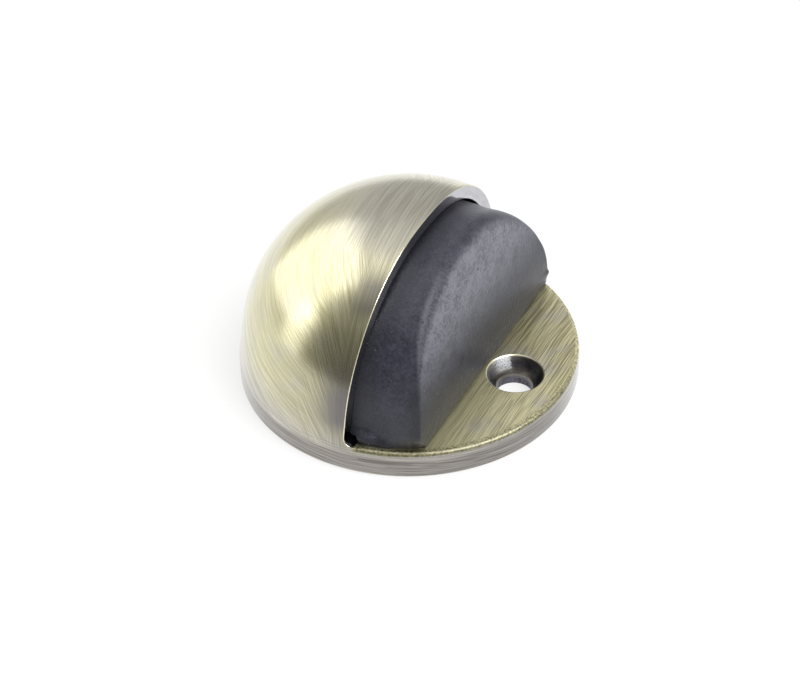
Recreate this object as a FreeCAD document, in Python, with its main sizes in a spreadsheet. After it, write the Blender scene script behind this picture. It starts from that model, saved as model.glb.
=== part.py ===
import FreeCAD, Part
import math
import os
import Sketcher

# Half-dome floor door stop.
# Frame: millimetres, origin at the centre of the base's underside, +Z up, the open front of the
# dome and the rubber face -Y. The object is symmetrical about the plane X = 0.

os.makedirs("parts", exist_ok=True)
doc = FreeCAD.newDocument("DoorStop")

VALUES = [
    # base and dome casting
    ("base_radius", 22.5),        # 45 mm base
    ("rim_height", 2.6),          # upright wall of the rim, below the dome's curve
    ("base_thk", 3.7),            # flat flange in front of the dome
    ("base_edge", 0.5),           # rounding of the flange's top edge
    ("dome_height", 24.9),        # floor to crown
    ("dome_draft", 8.0),          # lean of the dome's foot, degrees
    ("shoulder_radius", 20.2),
    ("crown_radius", 36.0),
    ("wall", 1.9),                # thickness of the dome's shell, seen as the flat lip
    ("lip_y", -2.0),              # lip plane at the level of the flange
    ("lip_lean", 2.2),            # the lip leans forward over the rubber, degrees
    ("lip_foot", 1.2),            # cast fillet between the lip and the flange
    # fixing hole in the flange, for a 4 mm countersunk wood screw
    ("fixing_y", -15.35),
    ("fixing_bore", 2.4),
    ("fixing_mouth", 3.75),
    ("fixing_land", 1.7),         # height of the plain bore under the cone
    # rubber buffer
    ("buffer_gap", 0.5),          # clearance between the rubber and the shell
    ("buffer_front", 11.35),      # distance of the striking face in front of the centre
    ("buffer_back", 9.0),         # distance of the flat back behind the centre
    ("buffer_upright", 6.0),      # height of the upright foot of the striking face
    ("buffer_bend", 24.0),        # radius that leads into the leaning part
    ("buffer_lean", 11.5),        # lean of the upper part of the striking face, degrees
    ("buffer_edge", 1.1),         # rounding of the striking face's edge
    ("foot_reach", 21.5),         # the nose's foot is relieved beyond this radius, to stay on
    ("relief_width", 1.8),        # the flange
    ("relief_height", 2.4),
    # hidden fastening of the buffer
    ("screw_y", 3.0),
    ("screw_radius", 2.0),
    ("screw_length", 10.5),
    ("head_radius", 4.0),
    ("head_sink", 0.3),           # the head lies this far inside the underside
    ("head_rim", 0.25),           # small upright edge of the countersunk head
    ("seat_gap", 0.15),           # clearance round the screw in its seat
    ("seat_clear", 0.05),         # clearance under the countersunk head
    ("insert_radius", 3.4),
    ("insert_flange", 5.0),
    ("insert_flange_thk", 1.0),
    ("insert_length", 8.0),
    ("insert_waist", 2.9),
    ("thread_gap", 0.04),
    ("rubber_grip_gap", 0.04),
    ("recess_width", 1.1),
    ("recess_span", 4.2),
    ("recess_depth", 1.5),
    ("tip_chamfer", 0.5),
    # how far cutting sketches reach past the solid they cut
    ("overrun", 0.4),
    ("cut_reach", 60.0),
    ("cut_above", 5.0),
    ("nose_spare", 2.0),
]

sheet = doc.addObject("Spreadsheet::Sheet", "dims")
V = {}
for row, (name, value) in enumerate(VALUES, start=1):
    sheet.set("A%d" % row, name)
    sheet.set("B%d" % row, str(value))
    sheet.setAlias("B%d" % row, name)
    V[name] = value
doc.recompute()

XZ = "XZ_Plane"
YZ = "YZ_Plane"
XY = "XY_Plane"
SAME = 1e-3                       # lengths closer than this count as equal
HALVINGS = 60                     # steps of the bisection that joins the dome's arcs


def vec(x, y, z=0.0):
    return FreeCAD.Vector(x, y, z)


def new_body(label):
    body = doc.addObject("PartDesign::Body", label)
    body.Label = label
    body.Placement = FreeCAD.Placement()
    return body


def new_sketch(body, name, plane):
    """A sketch attached to one of the body's own origin planes."""
    sketch = body.newObject("Sketcher::SketchObject", name)
    support = None
    for feature in body.Origin.OriginFeatures:
        if feature.Role == plane:
            support = feature
    sketch.AttachmentSupport = [(support, "")]
    sketch.MapMode = "FlatFace"
    return sketch


def bind(sketch, index, expression):
    sketch.setExpression("Constraints[%d]" % index, expression)


def distance_x(sketch, geo, pos, value, expression):
    """Holds a point's distance from the sketch's vertical axis."""
    if value < 0:
        index = sketch.addConstraint(Sketcher.Constraint("DistanceX", geo, pos, -1, 1, -value))
    else:
        index = sketch.addConstraint(Sketcher.Constraint("DistanceX", -1, 1, geo, pos, value))
    bind(sketch, index, expression)


def distance_y(sketch, geo, pos, value, expression):
    """Holds a point's height above the sketch's horizontal axis."""
    index = sketch.addConstraint(Sketcher.Constraint("DistanceY", -1, 1, geo, pos, value))
    bind(sketch, index, expression)


def join(sketch, first, first_pos, second, second_pos):
    sketch.addConstraint(Sketcher.Constraint("Coincident", first, first_pos, second, second_pos))


def tangent(sketch, first, first_pos, second, second_pos):
    sketch.addConstraint(Sketcher.Constraint("Tangent", first, first_pos, second, second_pos))


def dome_points(inset):
    """Corner and centre points of the dome's half profile, moved inwards by inset.

    The profile is an upright rim, a leaning foot, a shoulder arc and a crown arc, each tangent
    to the next above the rim.
    """
    lean = math.radians(V["dome_draft"])
    shoulder = V["shoulder_radius"]
    crown = V["crown_radius"]
    crown_z = V["dome_height"] - crown
    low = 0.0
    high = math.pi / 2 - lean
    for _ in range(HALVINGS):
        turn = 0.5 * (low + high)
        cx = (crown - shoulder) * math.sin(turn)
        cz = crown_z + (crown - shoulder) * math.cos(turn)
        reach = (V["base_radius"] - cx) * math.cos(lean) + (V["rim_height"] - cz) * math.sin(lean)
        if reach > shoulder:
            low = turn
        else:
            high = turn
    s = shoulder - inset
    c = crown - inset
    rim_x = V["base_radius"] - inset
    shift = V["base_radius"] * math.cos(lean) + V["rim_height"] * math.sin(lean) - inset
    rim_z = (shift - rim_x * math.cos(lean)) / math.sin(lean)
    foot_end = vec(cx + s * math.cos(lean), cz + s * math.sin(lean))
    shoulder_end = vec(c * math.sin(turn), crown_z + c * math.cos(turn))
    return {
        "rim": vec(rim_x, rim_z),
        "lean": lean,
        "turn": turn,
        "shoulder_centre": vec(cx, cz),
        "crown_centre": vec(0, crown_z),
        "foot_end": foot_end,
        "shoulder_end": shoulder_end,
        "top": vec(0, crown_z + c),
    }


def arc(centre, radius, start, end):
    circle = Part.Circle(vec(centre.x, centre.y), vec(0, 0, 1), radius)
    return Part.ArcOfCircle(circle, start, end)


def line(a, b):
    return Part.LineSegment(a, b)


def dome_half_profile(sketch, inset, inset_words, floor_z, floor_words):
    """Closed half profile of the dome, inset from the outer one, standing on floor_z."""
    p = dome_points(inset)
    half_pi = math.pi / 2
    foot_x = p["rim"].x
    with_rim = floor_z < V["rim_height"]
    if not with_rim:
        foot_x = p["rim"].x - (floor_z - p["rim"].y) * math.tan(p["lean"])
    g_floor = sketch.addGeometry(line(vec(0, floor_z), vec(foot_x, floor_z)), False)
    if with_rim:
        g_rim = sketch.addGeometry(line(vec(foot_x, floor_z), p["rim"]), False)
        g_foot = sketch.addGeometry(line(p["rim"], p["foot_end"]), False)
    else:
        g_foot = sketch.addGeometry(line(vec(foot_x, floor_z), p["foot_end"]), False)
    g_shoulder = sketch.addGeometry(
        arc(p["shoulder_centre"], V["shoulder_radius"] - inset, p["lean"], half_pi - p["turn"]),
        False,
    )
    g_crown = sketch.addGeometry(
        arc(p["crown_centre"], V["crown_radius"] - inset, half_pi - p["turn"], half_pi),
        False,
    )
    g_axis = sketch.addGeometry(line(p["top"], vec(0, floor_z)), False)
    sketch.addConstraint(Sketcher.Constraint("Horizontal", g_floor))
    if with_rim:
        join(sketch, g_floor, 2, g_rim, 1)
        join(sketch, g_rim, 2, g_foot, 1)
        sketch.addConstraint(Sketcher.Constraint("Vertical", g_rim))
    else:
        join(sketch, g_floor, 2, g_foot, 1)
    tangent(sketch, g_foot, 2, g_shoulder, 1)
    tangent(sketch, g_shoulder, 2, g_crown, 1)
    join(sketch, g_crown, 2, g_axis, 1)
    join(sketch, g_axis, 2, g_floor, 1)
    sketch.addConstraint(Sketcher.Constraint("PointOnObject", g_axis, 1, -2))
    sketch.addConstraint(Sketcher.Constraint("PointOnObject", g_axis, 2, -2))
    sketch.addConstraint(Sketcher.Constraint("PointOnObject", g_crown, 3, -2))
    i = sketch.addConstraint(
        Sketcher.Constraint("Radius", g_shoulder, V["shoulder_radius"] - inset)
    )
    bind(sketch, i, "dims.shoulder_radius - (%s)" % inset_words)
    i = sketch.addConstraint(Sketcher.Constraint("Radius", g_crown, V["crown_radius"] - inset))
    bind(sketch, i, "dims.crown_radius - (%s)" % inset_words)
    distance_y(sketch, g_axis, 1, V["dome_height"] - inset, "dims.dome_height - (%s)" % inset_words)
    if floor_z == 0:
        sketch.addConstraint(Sketcher.Constraint("PointOnObject", g_floor, 1, -1))
    else:
        distance_y(sketch, g_floor, 1, floor_z, floor_words)
    if with_rim:
        distance_x(sketch, g_rim, 1, foot_x, "dims.base_radius - (%s)" % inset_words)
        distance_y(sketch, g_rim, 2, p["rim"].y, "dims.rim_height")
    else:
        distance_x(
            sketch, g_floor, 2, foot_x,
            "dims.base_radius - (dims.base_thk - dims.rim_height) * tan(dims.dome_draft * 1 deg)"
            " - (%s) / cos(dims.dome_draft * 1 deg)" % inset_words,
        )
    doc.recompute()


def polygon(sketch, points):
    """A closed polygon whose corners are held by horizontal and vertical distances.

    Each point is (x, y, x_words, y_words); words of None hold the point to that axis.
    """
    count = len(points)
    lines = []
    for k in range(count):
        a = points[k]
        b = points[(k + 1) % count]
        lines.append(sketch.addGeometry(line(vec(a[0], a[1]), vec(b[0], b[1])), False))
    for k in range(count):
        join(sketch, lines[k], 2, lines[(k + 1) % count], 1)
    for k, (x, y, x_words, y_words) in enumerate(points):
        if x_words is None:
            sketch.addConstraint(Sketcher.Constraint("PointOnObject", lines[k], 1, -2))
        else:
            distance_x(sketch, lines[k], 1, x, x_words)
        if y_words is None:
            sketch.addConstraint(Sketcher.Constraint("PointOnObject", lines[k], 1, -1))
        else:
            distance_y(sketch, lines[k], 1, y, y_words)
    return lines


def spin_about_own_edge(body, kind, name, sketch, edge_index):
    feature = body.newObject(kind, name)
    feature.Profile = sketch
    feature.ReferenceAxis = (sketch, ["Edge%d" % edge_index])
    feature.Angle = 360.0
    return feature


def check_volume(feature, shape_before, growing):
    after = feature.Shape.Volume
    if growing and after <= shape_before:
        raise RuntimeError(feature.Name + " added no material")
    if not growing and after >= shape_before:
        raise RuntimeError(feature.Name + " removed no material")
    return after


# ---------------------------------------------------------------- body casting
casting = new_body("body_casting")

outer = new_sketch(casting, "casting_outline", XZ)
dome_half_profile(outer, 0.0, "0", 0.0, None)
blank = casting.newObject("PartDesign::Revolution", "casting_blank")
blank.Profile = outer
blank.ReferenceAxis = (outer, ["V_Axis"])
blank.Angle = 360.0
doc.recompute()
volume = check_volume(blank, 0.0, True)

# the front of the dome is cut away down to the flange
lean = math.radians(V["lip_lean"])
far = V["cut_reach"]
up = V["dome_height"] + V["cut_above"]
up_words = "dims.dome_height + dims.cut_above"
lip_top_y = V["lip_y"] - (up - V["base_thk"]) * math.tan(lean)
front = new_sketch(casting, "front_opening", YZ)
polygon(front, [
    (V["lip_y"], V["base_thk"], "-dims.lip_y", "dims.base_thk"),
    (lip_top_y, up,
     "-dims.lip_y + (%s - dims.base_thk) * tan(dims.lip_lean * 1 deg)" % up_words, up_words),
    (-far, up, "dims.cut_reach", up_words),
    (-far, V["base_thk"], "dims.cut_reach", "dims.base_thk"),
])
opening = casting.newObject("PartDesign::Pocket", "dome_opening")
opening.Profile = front
opening.Type = "ThroughAll"
opening.Midplane = True
doc.recompute()
volume = check_volume(opening, volume, False)


def edges_where(shape, test):
    names = []
    for number, edge in enumerate(shape.Edges, start=1):
        if test(edge):
            names.append("Edge%d" % number)
    return names


def dress(body, kind, name, base, names, size_property, words):
    feature = body.newObject(kind, name)
    feature.Base = (base, names)
    feature.setExpression(size_property, words)
    doc.recompute()
    return feature


def on_flange_top(box):
    return abs(box.ZMin - V["base_thk"]) < SAME and abs(box.ZMax - V["base_thk"]) < SAME


def is_flange_edge(edge):
    """The outer top edge of the flange, in front of the lip."""
    box = edge.BoundBox
    return on_flange_top(box) and box.YMin < V["fixing_y"] - V["fixing_mouth"]


def is_lip_foot(edge):
    """The inside corner between the lip and the flange."""
    box = edge.BoundBox
    at_lip = abs(box.YMin - V["lip_y"]) < SAME and abs(box.YMax - V["lip_y"]) < SAME
    return on_flange_top(box) and at_lip


flange_edge = dress(
    casting, "PartDesign::Fillet", "flange_edge_rounding", opening,
    edges_where(opening.Shape, is_flange_edge), "Radius", "dims.base_edge",
)
volume = check_volume(flange_edge, volume, False)
lip_foot = dress(
    casting, "PartDesign::Fillet", "lip_foot_fillet", flange_edge,
    edges_where(flange_edge.Shape, is_lip_foot), "Radius", "dims.lip_foot",
)
volume = check_volume(lip_foot, volume, True)
# the hollow inside the dome, with a flat floor level with the flange
hollow_outline = new_sketch(casting, "hollow_outline", XZ)
dome_half_profile(hollow_outline, V["wall"], "dims.wall", V["base_thk"], "dims.base_thk")
hollow = casting.newObject("PartDesign::Groove", "dome_hollow")
hollow.Profile = hollow_outline
hollow.ReferenceAxis = (hollow_outline, ["V_Axis"])
hollow.Angle = 360.0
doc.recompute()
volume = check_volume(hollow, volume, False)

# countersunk fixing hole in the flange
overrun = V["overrun"]
below_words = "-dims.overrun"
above_words = "dims.base_thk + dims.overrun"
fixing_outline = new_sketch(casting, "fixing_hole_outline", YZ)
fixing_lines = polygon(fixing_outline, [
    (V["fixing_y"], -overrun, "-dims.fixing_y", below_words),
    (V["fixing_y"] + V["fixing_bore"], -overrun, "-dims.fixing_y - dims.fixing_bore", below_words),
    (V["fixing_y"] + V["fixing_bore"], V["fixing_land"],
     "-dims.fixing_y - dims.fixing_bore", "dims.fixing_land"),
    (V["fixing_y"] + V["fixing_mouth"], V["base_thk"],
     "-dims.fixing_y - dims.fixing_mouth", "dims.base_thk"),
    (V["fixing_y"] + V["fixing_mouth"], V["base_thk"] + overrun,
     "-dims.fixing_y - dims.fixing_mouth", above_words),
    (V["fixing_y"], V["base_thk"] + overrun, "-dims.fixing_y", above_words),
])
fixing = spin_about_own_edge(
    casting, "PartDesign::Groove", "fixing_hole", fixing_outline, fixing_lines[5] + 1
)
doc.recompute()
volume = check_volume(fixing, volume, False)

# countersunk seat on the underside for the screw that holds the buffer
sink_rim = V["head_sink"] + V["head_rim"]
sink_depth = sink_rim + V["head_radius"] - V["screw_radius"]
seat_words = "dims.head_sink + dims.head_rim + dims.seat_clear"
seat_outline = new_sketch(casting, "screw_seat_outline", YZ)
seat_lines = polygon(seat_outline, [
    (V["screw_y"], -overrun, "dims.screw_y", below_words),
    (V["screw_y"] + V["head_radius"] + V["seat_gap"], -overrun,
     "dims.screw_y + dims.head_radius + dims.seat_gap", below_words),
    (V["screw_y"] + V["head_radius"] + V["seat_gap"], sink_rim + V["seat_clear"],
     "dims.screw_y + dims.head_radius + dims.seat_gap", seat_words),
    (V["screw_y"] + V["screw_radius"] + V["seat_gap"], sink_depth + V["seat_clear"],
     "dims.screw_y + dims.screw_radius + dims.seat_gap",
     seat_words + " + dims.head_radius - dims.screw_radius"),
    (V["screw_y"] + V["screw_radius"] + V["seat_gap"], V["base_thk"] + overrun,
     "dims.screw_y + dims.screw_radius + dims.seat_gap", above_words),
    (V["screw_y"], V["base_thk"] + overrun, "dims.screw_y", above_words),
])
seat = spin_about_own_edge(
    casting, "PartDesign::Groove", "screw_seat", seat_outline, seat_lines[5] + 1
)
doc.recompute()
check_volume(seat, volume, False)
casting.Tip = seat

# ---------------------------------------------------------------- rubber buffer
buffer = new_body("rubber_buffer")
inset = V["wall"] + V["buffer_gap"]
inset_words = "dims.wall + dims.buffer_gap"

# the part inside the shell: half of the dome's own shape, turned backwards
rear_outline = new_sketch(buffer, "rear_outline", XZ)
dome_half_profile(rear_outline, inset, inset_words, V["base_thk"], "dims.base_thk")
rear = buffer.newObject("PartDesign::Revolution", "rear_block")
rear.Profile = rear_outline
rear.ReferenceAxis = (rear_outline, ["V_Axis"])
rear.Angle = 360.0
doc.recompute()
volume = check_volume(rear, 0.0, True)

trim_outline = new_sketch(buffer, "trim_outline", YZ)
polygon(trim_outline, [
    (-far, 0.0, "dims.cut_reach", None),
    (0.0, 0.0, None, None),
    (0.0, up, None, up_words),
    (-far, up, "dims.cut_reach", up_words),
])
trim = buffer.newObject("PartDesign::Pocket", "front_half_removed")
trim.Profile = trim_outline
trim.Type = "ThroughAll"
trim.Midplane = True
doc.recompute()
volume = check_volume(trim, volume, False)

back_outline = new_sketch(buffer, "flat_back_outline", YZ)
polygon(back_outline, [
    (V["buffer_back"], 0.0, "dims.buffer_back", None),
    (far, 0.0, "dims.cut_reach", None),
    (far, up, "dims.cut_reach", up_words),
    (V["buffer_back"], up, "dims.buffer_back", up_words),
])
back = buffer.newObject("PartDesign::Pocket", "flat_back")
back.Profile = back_outline
back.Type = "ThroughAll"
back.Midplane = True
doc.recompute()
volume = check_volume(back, volume, False)


def full_section(sketch, inset_value, words):
    """The closed D-shaped section of the buffer: both halves of the inset dome profile."""
    p = dome_points(inset_value)
    floor_z = V["base_thk"]
    half_pi = math.pi / 2
    foot_x = p["rim"].x - (floor_z - p["rim"].y) * math.tan(p["lean"])
    shoulder = V["shoulder_radius"] - inset_value
    crown = V["crown_radius"] - inset_value
    sc = p["shoulder_centre"]
    g_floor = sketch.addGeometry(line(vec(-foot_x, floor_z), vec(foot_x, floor_z)), False)
    g_foot_r = sketch.addGeometry(line(vec(foot_x, floor_z), p["foot_end"]), False)
    g_sh_r = sketch.addGeometry(arc(sc, shoulder, p["lean"], half_pi - p["turn"]), False)
    g_crown = sketch.addGeometry(
        arc(p["crown_centre"], crown, half_pi - p["turn"], half_pi + p["turn"]), False
    )
    g_sh_l = sketch.addGeometry(
        arc(vec(-sc.x, sc.y), shoulder, half_pi + p["turn"], math.pi - p["lean"]), False
    )
    foot_end_l = vec(-p["foot_end"].x, p["foot_end"].y)
    g_foot_l = sketch.addGeometry(line(foot_end_l, vec(-foot_x, floor_z)), False)
    join(sketch, g_floor, 2, g_foot_r, 1)
    tangent(sketch, g_foot_r, 2, g_sh_r, 1)
    tangent(sketch, g_sh_r, 2, g_crown, 1)
    tangent(sketch, g_crown, 2, g_sh_l, 1)
    tangent(sketch, g_sh_l, 2, g_foot_l, 1)
    join(sketch, g_foot_l, 2, g_floor, 1)
    sketch.addConstraint(Sketcher.Constraint("Symmetric", g_floor, 1, g_floor, 2, -2))
    sketch.addConstraint(Sketcher.Constraint("PointOnObject", g_crown, 3, -2))
    sketch.addConstraint(Sketcher.Constraint("Symmetric", g_sh_r, 3, g_sh_l, 3, -2))
    i = sketch.addConstraint(Sketcher.Constraint("Radius", g_sh_r, shoulder))
    bind(sketch, i, "dims.shoulder_radius - (%s)" % words)
    i = sketch.addConstraint(Sketcher.Constraint("Radius", g_crown, crown))
    bind(sketch, i, "dims.crown_radius - (%s)" % words)
    # the crown's centre lies below the floor
    drop = -p["crown_centre"].y
    i = sketch.addConstraint(Sketcher.Constraint("DistanceY", g_crown, 3, -1, 1, drop))
    bind(sketch, i, "dims.crown_radius - dims.dome_height")
    distance_y(sketch, g_floor, 1, floor_z, "dims.base_thk")
    distance_x(
        sketch, g_floor, 2, foot_x,
        "dims.base_radius - (dims.base_thk - dims.rim_height) * tan(dims.dome_draft * 1 deg)"
        " - (%s) / cos(dims.dome_draft * 1 deg)" % words,
    )
    doc.recompute()


section = new_sketch(buffer, "buffer_section", XZ)
full_section(section, inset, inset_words)
nose = buffer.newObject("PartDesign::Pad", "buffer_nose")
nose.Profile = section
nose.setExpression("Length", "dims.buffer_front + dims.nose_spare")
doc.recompute()
volume = check_volume(nose, volume, True)
if nose.Shape.BoundBox.YMin > -V["buffer_front"]:
    raise RuntimeError("the buffer's nose points backwards")

# the striking face: upright at its foot, then leaning back
face_lean = math.radians(V["buffer_lean"])
bend = V["buffer_bend"]
face_y = -V["buffer_front"]
bend_end = vec(
    face_y + bend - bend * math.cos(face_lean),
    V["buffer_upright"] + bend * math.sin(face_lean),
)
face_top = vec(bend_end.x + (up - bend_end.y) * math.tan(face_lean), up)
face_outline = new_sketch(buffer, "striking_face_outline", YZ)
g_up = face_outline.addGeometry(line(vec(face_y, 0), vec(face_y, V["buffer_upright"])), False)
g_bend = face_outline.addGeometry(
    arc(vec(face_y + bend, V["buffer_upright"]), bend, math.pi - face_lean, math.pi), False
)
g_lean = face_outline.addGeometry(line(bend_end, face_top), False)
g_top = face_outline.addGeometry(line(face_top, vec(-far, up)), False)
g_far = face_outline.addGeometry(line(vec(-far, up), vec(-far, 0)), False)
g_low = face_outline.addGeometry(line(vec(-far, 0), vec(face_y, 0)), False)
tangent(face_outline, g_up, 2, g_bend, 2)
tangent(face_outline, g_bend, 1, g_lean, 1)
join(face_outline, g_lean, 2, g_top, 1)
join(face_outline, g_top, 2, g_far, 1)
join(face_outline, g_far, 2, g_low, 1)
join(face_outline, g_low, 2, g_up, 1)
face_outline.addConstraint(Sketcher.Constraint("Vertical", g_up))
face_outline.addConstraint(Sketcher.Constraint("Horizontal", g_top))
face_outline.addConstraint(Sketcher.Constraint("Vertical", g_far))
face_outline.addConstraint(Sketcher.Constraint("PointOnObject", g_low, 1, -1))
face_outline.addConstraint(Sketcher.Constraint("PointOnObject", g_low, 2, -1))
distance_x(face_outline, g_up, 1, face_y, "dims.buffer_front")
distance_y(face_outline, g_up, 2, V["buffer_upright"], "dims.buffer_upright")
distance_y(face_outline, g_top, 1, up, up_words)
distance_x(face_outline, g_far, 1, -far, "dims.cut_reach")
k = face_outline.addConstraint(Sketcher.Constraint("Radius", g_bend, bend))
bind(face_outline, k, "dims.buffer_bend")
distance_x(
    face_outline, g_lean, 2, face_top.x,
    "dims.buffer_front - dims.buffer_bend * (1 - cos(dims.buffer_lean * 1 deg))"
    " - (%s - dims.buffer_upright"
    " - dims.buffer_bend * sin(dims.buffer_lean * 1 deg)) * tan(dims.buffer_lean * 1 deg)"
    % up_words,
)
doc.recompute()
face = buffer.newObject("PartDesign::Pocket", "striking_face")
face.Profile = face_outline
face.Type = "ThroughAll"
face.Midplane = True
doc.recompute()
volume = check_volume(face, volume, False)


def is_nose_edge(edge):
    """The outline of the striking face, without its bottom edge."""
    box = edge.BoundBox
    in_front = box.YMax < -V["buffer_front"] / 2
    above_foot = box.ZMax > V["base_thk"] + V["overrun"]
    level = box.ZMax - box.ZMin < SAME
    crosses_middle = box.XMin < -V["buffer_edge"] and box.XMax > V["buffer_edge"]
    below_crown = box.ZMin < V["dome_height"] - V["buffer_upright"]
    return in_front and above_foot and not level and not (crosses_middle and below_crown)


nose_edge = dress(
    buffer, "PartDesign::Fillet", "striking_face_rounding", face,
    edges_where(face.Shape, is_nose_edge), "Radius", "dims.buffer_edge",
)
volume = check_volume(nose_edge, volume, False)

# the nose's foot is relieved all round, so that its corners don't overhang the flange
relief_out = V["base_radius"] + V["cut_above"]
relief_out_words = "dims.base_radius + dims.cut_above"
relief_top = V["base_thk"] + V["relief_height"]
relief_top_words = "dims.base_thk + dims.relief_height"
relief_outline = new_sketch(buffer, "foot_relief_outline", XZ)
polygon(relief_outline, [
    (V["foot_reach"], V["base_thk"] - overrun, "dims.foot_reach", "dims.base_thk - dims.overrun"),
    (relief_out, V["base_thk"] - overrun, relief_out_words, "dims.base_thk - dims.overrun"),
    (relief_out, relief_top, relief_out_words, relief_top_words),
    (V["foot_reach"] + V["relief_width"], relief_top,
     "dims.foot_reach + dims.relief_width", relief_top_words),
    (V["foot_reach"], V["base_thk"], "dims.foot_reach", "dims.base_thk"),
])
foot_relief = buffer.newObject("PartDesign::Groove", "foot_relief")
foot_relief.Profile = relief_outline
foot_relief.ReferenceAxis = (relief_outline, ["V_Axis"])
foot_relief.Angle = 360.0
doc.recompute()
volume = check_volume(foot_relief, volume, False)


def insert_profile(gap, gap_words, low, low_words):
    """Outline of the threaded insert as (radius, height, words, words), grown by gap."""
    floor_z = V["base_thk"]
    flange_top = floor_z + V["insert_flange_thk"]
    top = floor_z + V["insert_length"]
    third = (V["insert_length"] - V["insert_flange_thk"]) / 3.0
    flange = V["insert_flange"] + gap
    barrel = V["insert_radius"] + gap
    waist = V["insert_waist"] + gap
    flange_words = "dims.insert_flange + " + gap_words
    barrel_words = "dims.insert_radius + " + gap_words
    waist_words = "dims.insert_waist + " + gap_words
    third_words = "(dims.insert_length - dims.insert_flange_thk) / 3"
    step_words = "dims.base_thk + dims.insert_flange_thk + " + gap_words
    top_words = "dims.base_thk + dims.insert_length + " + gap_words
    lower_words = step_words + " + " + third_words
    upper_words = "dims.base_thk + dims.insert_length - (%s) - %s" % (gap_words, third_words)
    return [
        (flange, low, flange_words, low_words),
        (flange, flange_top + gap, flange_words, step_words),
        (barrel, flange_top + gap, barrel_words, step_words),
        (barrel, flange_top + third + gap, barrel_words, lower_words),
        (waist, flange_top + third + gap, waist_words, lower_words),
        (waist, top - third - gap, waist_words, upper_words),
        (barrel, top - third - gap, barrel_words, upper_words),
        (barrel, top + gap, barrel_words, top_words),
    ]


def around_screw(points):
    """Moves (radius, height, words, words) points out to the screw's own axis."""
    moved = []
    for radius, height, radius_words, height_words in points:
        y_words = "dims.screw_y"
        if radius > 0:
            y_words = "dims.screw_y + " + radius_words
        moved.append((V["screw_y"] + radius, height, y_words, height_words))
    return moved


pocket_outline = new_sketch(buffer, "insert_pocket_outline", YZ)
grip = V["rubber_grip_gap"]
pocket_low = V["base_thk"] - overrun
pocket_low_words = "dims.base_thk - dims.overrun"
pocket_points = [(0.0, pocket_low, "", pocket_low_words)]
pocket_points += insert_profile(grip, "dims.rubber_grip_gap", pocket_low, pocket_low_words)
pocket_points.append((
    0.0, V["base_thk"] + V["insert_length"] + grip, "",
    "dims.base_thk + dims.insert_length + dims.rubber_grip_gap",
))
pocket_lines = polygon(pocket_outline, around_screw(pocket_points))
insert_pocket = spin_about_own_edge(
    buffer, "PartDesign::Groove", "insert_pocket", pocket_outline, pocket_lines[-1] + 1
)
doc.recompute()
check_volume(insert_pocket, volume, False)
buffer.Tip = insert_pocket

# ---------------------------------------------------------------- threaded insert
insert = new_body("buffer_insert")
insert_outline = new_sketch(insert, "insert_outline", YZ)
bore = V["screw_radius"] + V["thread_gap"]
bore_words = "dims.screw_radius + dims.thread_gap"
insert_points = [(bore, V["base_thk"], bore_words, "dims.base_thk")]
insert_points += insert_profile(0.0, "0", V["base_thk"], "dims.base_thk")
insert_points.append((
    bore, V["base_thk"] + V["insert_length"], bore_words, "dims.base_thk + dims.insert_length"
))
polygon(insert_outline, around_screw(insert_points))
axis_length = V["insert_length"]
axis_line = insert_outline.addGeometry(
    line(vec(V["screw_y"], V["base_thk"]), vec(V["screw_y"], V["base_thk"] + axis_length)), True
)
insert_outline.addConstraint(Sketcher.Constraint("Vertical", axis_line))
distance_x(insert_outline, axis_line, 1, V["screw_y"], "dims.screw_y")
distance_y(insert_outline, axis_line, 1, V["base_thk"], "dims.base_thk")
k = insert_outline.addConstraint(Sketcher.Constraint("Distance", axis_line, axis_length))
bind(insert_outline, k, "dims.insert_length")
insert_solid = insert.newObject("PartDesign::Revolution", "insert_solid")
insert_solid.Profile = insert_outline
insert_solid.ReferenceAxis = (insert_outline, ["Axis0"])
insert_solid.Angle = 360.0
doc.recompute()
check_volume(insert_solid, 0.0, True)
insert.Tip = insert_solid

# ---------------------------------------------------------------- retaining screw
screw = new_body("retaining_screw")
screw_outline = new_sketch(screw, "screw_outline", YZ)
low = V["head_sink"]
tip = low + V["screw_length"]
seat_z = low + V["head_rim"]
neck_z = seat_z + V["head_radius"] - V["screw_radius"]
neck_words = "dims.head_sink + dims.head_rim + dims.head_radius - dims.screw_radius"
tip_words = "dims.head_sink + dims.screw_length"
chamfer = V["tip_chamfer"]
screw_lines = polygon(screw_outline, around_screw([
    (0.0, low, "", "dims.head_sink"),
    (V["head_radius"], low, "dims.head_radius", "dims.head_sink"),
    (V["head_radius"], seat_z, "dims.head_radius", "dims.head_sink + dims.head_rim"),
    (V["screw_radius"], neck_z, "dims.screw_radius", neck_words),
    (V["screw_radius"], tip - chamfer, "dims.screw_radius", tip_words + " - dims.tip_chamfer"),
    (V["screw_radius"] - chamfer, tip, "dims.screw_radius - dims.tip_chamfer", tip_words),
    (0.0, tip, "", tip_words),
]))
screw_solid = spin_about_own_edge(
    screw, "PartDesign::Revolution", "screw_solid", screw_outline, screw_lines[6] + 1
)
doc.recompute()
volume = check_volume(screw_solid, 0.0, True)

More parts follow.
